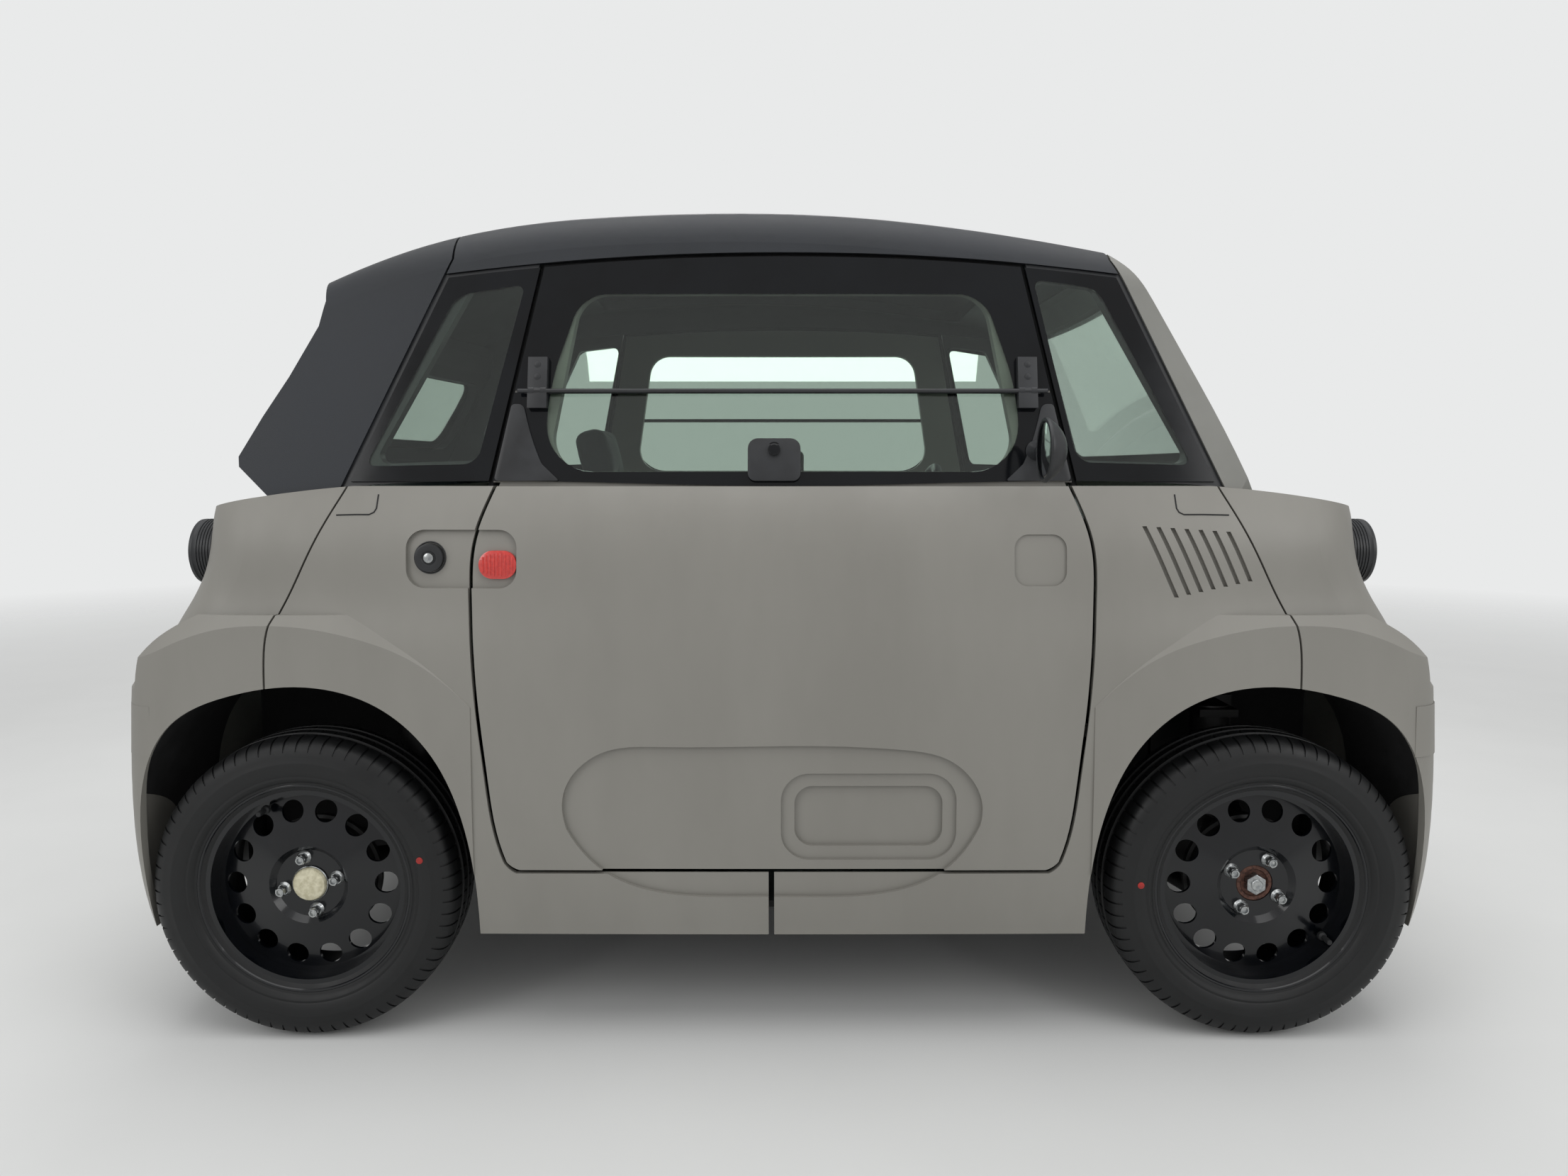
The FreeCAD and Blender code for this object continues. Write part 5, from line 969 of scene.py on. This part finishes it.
def mirror_fittings():
    """Glass, rim and foot of the mirrors."""
    head = Matrix.Translation(MIRROR_HEAD) @ facing((-1, 0, 0))
    spun_pair("mirror_glass", MIRROR_FACE, 48, head, "mirror", "door_")
    spun_pair("mirror_rim", MIRROR_RIM, 48, head, "trim", "door_", closed=True)
    spun_pair("mirror_foot", MIRROR_FOOT, 32, on_window(*MIRROR_FOOT_PLACE), "trim", "door_")


def box_outline(ends, levels):
    """Corners of an upright rectangle, from the lower one at the first end."""
    return [(ends[0], levels[0]), (ends[1], levels[0]), (ends[1], levels[1]), (ends[0], levels[1])]


def side_reflector():
    """Oval reflector with upright ribs."""
    oval = plate(box_outline(REFLECTOR_ENDS, REFLECTOR_LEVELS), [REFLECTOR_RADIUS] * 4, REFLECTOR_DEPTH, 2.5)
    for step in range(REFLECTOR_RIBS):
        across = REFLECTOR_FIRST + REFLECTOR_PITCH * step
        half = RIB_TALL * math.sqrt(1 - ((across - REFLECTOR_MIDDLE) / RIB_ROUND_HALF) ** 2)
        levels = (REFLECTOR_HEIGHT - half, REFLECTOR_HEIGHT + half)
        rib = box_outline((across - RIB_HALF, across + RIB_HALF), levels)
        join_into(oval, plate(rib, [1] * 4, REFLECTOR_DEPTH + RIB_OUT, 0.5))
    pair("side_reflector", draped(oval, "door_panel_right"), "reflector", "door_")


def lid_lines():
    """Fine lines of the lids in the fenders."""
    for end, near, far in LID_ENDS:
        turn = math.copysign(LID_CORNER, far - near)
        places = (near, near, near, near + turn * 0.3, near + turn, (near + far) / 2, far)
        line = [(x * MM, side_hit("fender_%s_right" % end, x * MM, z * MM) - LID_SUNK, z * MM)
                for x, z in zip(places, LID_LEVELS)]
        pair(end + "_lid_line", tube(line, LID_LINE), "seal", "body")


def opener_fittings():
    """Ring, dish and core of the door openers."""
    turns = [2 * math.pi * i / 48 for i in range(48)]
    ring = [(OPENER_ALONG + OPENER_RADIUS * math.cos(t), OPENER_HEIGHT + OPENER_RADIUS * math.sin(t))
            for t in turns]
    line = [(x, side_hit("fender_rear_right", x, z) - OPENER_SUNK, z) for x, z in ring]
    pair("opener_ring", tube(line, OPENER_LINE, closed=True), "trim", "body")
    face = side_hit("door_openers", OPENER_ALONG, OPENER_HEIGHT)
    button = Matrix.Translation((OPENER_ALONG, face, OPENER_HEIGHT))
    spun_pair("opener_face", OPENER_DISH, 48, button, "trim", "body")
    spun_pair("opener_core", OPENER_CORE, 40, button, "zinc", "body")


class MICROCAR_OT_fittings(bpy.types.Operator):
    """Adds window trim, latches, hinges, mirrors, reflectors, lid lines, openers and seals"""
    bl_idname = "microcar.fittings"
    bl_label = "Door fittings"

    def execute(self, context):
        window_fittings()
        flap_fittings()
        mirror_fittings()
        side_reflector()
        lid_lines()
        opener_fittings()
        return {"FINISHED"}


# Seats

CLOTH_PRESSURE, CLOTH_FRAMES = 4, 20
SWELL_LIMIT = 24 * MM
CUSHION_ROUNDING = 26 * MM
MESH_SIZE, QUICK_MESH_SIZE = 6 * MM, 12 * MM


def swollen(made):
    """Lets cloth under pressure crown a stuffed piece, moving no point farther than the limit."""
    scene = bpy.context.scene
    rest = [vert.co.copy() for vert in made.data.vertices]
    cloth = made.modifiers.new("stuffing", "CLOTH")
    cloth.settings.use_pressure = True
    cloth.settings.uniform_pressure_force = CLOTH_PRESSURE
    cloth.settings.effector_weights.gravity = 0
    for step in range(1, CLOTH_FRAMES + 1):
        scene.frame_set(step)
    applied(made)
    scene.frame_set(1)
    for vert, start in zip(made.data.vertices, rest):
        moved = vert.co - start
        if moved.length > SWELL_LIMIT:
            vert.co = start + moved.normalized() * SWELL_LIMIT


def stuffed(name, size_mm, matrix, node, shrink=14):
    """Cushion from a rounded block, crowned by cloth pressure, in place of its plain solid."""
    bm = bmesh.new()
    bmesh.ops.create_cube(bm, size=1)
    bmesh.ops.scale(bm, verts=bm.verts, vec=[(side - shrink) * MM for side in size_mm])
    bmesh.ops.bevel(bm, geom=bm.edges[:], offset=CUSHION_ROUNDING, segments=5, profile=0.5, affect="EDGES")
    made = placed(name, mesh_of(name, bm))
    even = made.modifiers.new("even", "REMESH")
    even.mode = "VOXEL"
    even.voxel_size = MESH_SIZE
    applied(made)
    swollen(made)
    made.data.transform(matrix)
    for face in made.data.polygons:
        face.use_smooth = True
    made.data.materials.clear()
    made.data.materials.append(finish_of["cloth"])
    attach(made, "body")
    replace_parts(made, node)
    return made


PIPING_RADIUS = 1.5 * MM
LOOP_STEPS = 96
LOOP_SQUARENESS = 0.35


def seam_on(made, points):
    """Piping along points drawn near a cushion, drawn in to its surface."""
    bm = bmesh.new()
    bm.from_mesh(made.data)
    tree = BVHTree.FromBMesh(bm)
    bm.free()
    line = [tree.find_nearest(Vector(point))[0] for point in points]
    return tube(line, PIPING_RADIUS, closed=True, sides=8)


def loop(matrix, along, wide, at):
    """Rounded loop in the local XY plane at a height, as points in metres."""
    points = []
    for i in range(LOOP_STEPS):
        t = 2 * math.pi * i / LOOP_STEPS
        c, s = math.cos(t), math.sin(t)
        x = along / 2 * math.copysign(abs(c) ** LOOP_SQUARENESS, c)
        y = wide / 2 * math.copysign(abs(s) ** LOOP_SQUARENESS, s)
        points.append(matrix @ Vector((x * MM, y * MM, at * MM)))
    return points


# The seats, in millimetres: where each cushion's middle lies, the sizes of the stuffed pieces, and the loops
# of piping as (length, width, height above the middle).
SEAT_PLACES = (("driver", -150, 285), ("passenger", -225, -285))
CUSHION_HEIGHT = 440
CUSHION_SIZE, BACK_SIZE, HEADREST_SIZE = (430, 400, 120), (90, 400, 520), (90, 230, 144)
CUSHION_LOOPS = ((400, 372, 44), (300, 220, 70))
BACK_LOOPS = ((480, 372, 34), (380, 220, 60))
BACK_BEHIND, BACK_UP, HEADREST_UP = 170, 300, 648
BACK_LEAN = 14
HEADREST_SHRINK = 12
PLINTH_SIZE, PLINTH_HEIGHT, PLINTH_ROUNDING = (350, 320, 118), 321.5, 8


def shifted(x, y, z):
    """Moves by millimetres."""
    return Matrix.Translation(Vector((x, y, z)) * MM)


class MICROCAR_OT_seats(bpy.types.Operator):
    """Makes both seats: stuffed cushions, backs and headrests with piping, on moulded plinths"""
    bl_idname = "microcar.seats"
    bl_label = "Seats"

    def execute(self, context):
        for name, along, across in SEAT_PLACES:
            node = "seat_" + name
            flat = shifted(along, across, CUSHION_HEIGHT)
            hinge = (shifted(along - BACK_BEHIND, across, CUSHION_HEIGHT)
                     @ Matrix.Rotation(-math.radians(BACK_LEAN), 4, "Y"))
            back_place = hinge @ shifted(0, 0, BACK_UP)
            cushion = stuffed("seat_cushion_" + name, CUSHION_SIZE, flat, node)
            back = stuffed("seat_back_" + name, BACK_SIZE, back_place, node)
            stuffed("headrest_" + name, HEADREST_SIZE, hinge @ shifted(0, 0, HEADREST_UP), node, HEADREST_SHRINK)
            upright = back_place @ Matrix.Rotation(math.pi / 2, 4, "Y")
            piping = bmesh.new()
            for made, place, loops in ((cushion, flat, CUSHION_LOOPS), (back, upright, BACK_LOOPS)):
                for size in loops:
                    join_into(piping, seam_on(made, loop(place, *size)))
            piece("seat_piping_" + name, piping, "seal", "body")
            plinth = bmesh.new()
            bmesh.ops.create_cube(plinth, size=1)
            bmesh.ops.scale(plinth, verts=plinth.verts, vec=Vector(PLINTH_SIZE) * MM)
            bmesh.ops.translate(plinth, verts=plinth.verts, vec=Vector((along, across, PLINTH_HEIGHT)) * MM)
            bmesh.ops.bevel(plinth, geom=plinth.edges[:], offset=PLINTH_ROUNDING * MM, segments=3, profile=0.5,
                            affect="EDGES")
            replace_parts(piece("seat_plinth_" + name, plinth, "cabin", "body"), node)
        return {"FINISHED"}


class MICROCAR_OT_panels(bpy.types.Operator):
    """Gives every part its moulded, painted or cast finish"""
    bl_idname = "microcar.panels"
    bl_label = "Part finishes"

    def execute(self, context):
        make_finishes()
        for name, node in frame["nodes"].items():
            node.data.materials.clear()
            node.data.materials.append(finish_for(name))
        return {"FINISHED"}


# Stage

FLOOR_RADIUS, FLOOR_DROP = 30, 0.001
FLOOR_CLOUD_MM = 400
FLOOR_ROUGHNESS = 0.75
FADE_SPAN = {"From Min": 3.5, "From Max": 9.0}
STUDIO_LIGHT = 0.62
SENSOR_WIDTH = 36
CAMERA_SHIFT = (0.0009, -0.0206)
# Square lamps as (name, place, aim, size, watts), in metres.
LAMPS = (("overhead", (0, -0.6, 4.2), (0, 0, 0.6), 4.5, 95),
         ("front_fill", (3.4, -3.4, 2.6), (0, 0, 0.8), 2.2, 38),
         ("rear_fill", (-3.4, -3.4, 2.6), (0, 0, 0.8), 2.2, 38),
         ("far_fill", (0, 4.2, 2.8), (0, 0, 0.8), 2.6, 45))


def floor_finish():
    """Pale matt floor that fades into the backdrop far from the car."""
    material, tree, shader, place = new_material("pale_sealed_floor")
    mixed = add(tree, "ShaderNodeMix", {6: opaque(linear("#dadbda")), 7: opaque(linear("#d3d4d3"))},
                {0: noise(tree, place, FLOOR_CLOUD_MM, 5)}, data_type="RGBA")
    tree.links.new(mixed.outputs[2], shader.inputs["Base Color"])
    shader.inputs["Roughness"].default_value = FLOOR_ROUGHNESS
    far = add(tree, "ShaderNodeVectorMath", None, {0: place}, operation="LENGTH")
    fade = add(tree, "ShaderNodeMapRange", FADE_SPAN, {"Value": far.outputs["Value"]})
    clear = add(tree, "ShaderNodeBsdfTransparent")
    end_in_mix(tree, "Material Output", fade.outputs["Result"], shader.outputs["BSDF"], clear.outputs["BSDF"])
    return material


def studio_world():
    """Even white light, with a plain pale backdrop where the camera or the glass looks out."""
    world = bpy.data.worlds.new("studio")
    world.use_nodes = True
    tree = world.node_tree
    light = tree.nodes["Background"]
    light.inputs["Color"].default_value = (1, 1, 1, 1)
    light.inputs["Strength"].default_value = STUDIO_LIGHT
    seen = add(tree, "ShaderNodeBackground", {"Color": opaque(linear("#e9eaea")), "Strength": 1.0})
    ray = add(tree, "ShaderNodeLightPath")
    either = add(tree, "ShaderNodeMath", None, {0: ray.outputs["Is Camera Ray"],
                                                1: ray.outputs["Is Transmission Ray"]}, operation="MAXIMUM")
    end_in_mix(tree, "World Output", either.outputs[0], light.outputs["Background"], seen.outputs["Background"])
    return world


class MICROCAR_OT_stage(bpy.types.Operator):
    """Sets the floor, the soft light and the camera"""
    bl_idname = "microcar.stage"
    bl_label = "Stage"

    def execute(self, context):
        scene = context.scene
        own = scene.microcar_stage
        floor = bmesh.new()
        bmesh.ops.create_circle(floor, cap_ends=True, segments=96, radius=FLOOR_RADIUS)
        ground = placed("floor", mesh_of("floor", floor))
        ground.location.z = -FLOOR_DROP
        ground.data.materials.append(floor_finish())
        scene.world = studio_world()
        for name, place, aim, size, watts in LAMPS:
            lamp = bpy.data.lights.new(name, "AREA")
            lamp.shape = "SQUARE"
            lamp.size = size
            lamp.energy = watts
            shown = placed(name, lamp)
            shown.location = place
            shown.rotation_euler = (Vector(aim) - Vector(place)).to_track_quat("-Z", "Y").to_euler()
        camera = bpy.data.cameras.new("camera")
        camera.lens = own.lens
        camera.sensor_width = SENSOR_WIDTH
        camera.shift_x, camera.shift_y = CAMERA_SHIFT
        eye = placed("camera", camera)
        eye.location = (0, -own.eye_back, own.eye_height)
        eye.rotation_euler = (math.pi / 2 - own.dip, 0, 0)
        scene.camera = eye
        scene.view_settings.view_transform = "Standard"
        return {"FINISHED"}


class MICROCAR_PT_panel(bpy.types.Panel):
    """Lists the pieces of the car"""
    bl_idname = "MICROCAR_PT_panel"
    bl_label = "Microcar"
    bl_space_type = "VIEW_3D"
    bl_region_type = "UI"
    bl_category = "Microcar"

    def draw(self, context):
        for operator in OPERATORS:
            self.layout.operator(operator.bl_idname)


OPERATORS = (MICROCAR_OT_panels, MICROCAR_OT_windows, MICROCAR_OT_tyres, MICROCAR_OT_wheels,
             MICROCAR_OT_lamps, MICROCAR_OT_fittings, MICROCAR_OT_seats, MICROCAR_OT_stage)
GROUPS = {"microcar_finishes": MicrocarFinishes, "microcar_sizes": MicrocarSizes,
          "microcar_stage": MicrocarStage}


def register():
    for group in GROUPS.values():
        bpy.utils.register_class(group)
    for operator in OPERATORS:
        bpy.utils.register_class(operator)
    bpy.utils.register_class(MICROCAR_PT_panel)
    for name, group in GROUPS.items():
        setattr(bpy.types.Scene, name, PointerProperty(type=group))


def unregister():
    for name in GROUPS:
        delattr(bpy.types.Scene, name)
    for made in (MICROCAR_PT_panel, *reversed(OPERATORS), *GROUPS.values()):
        bpy.utils.unregister_class(made)


def main():
    register()
    for operator in OPERATORS:
        family, name = operator.bl_idname.split(".")
        getattr(getattr(bpy.ops, family), name)()


if __name__ == "__main__":
    main()
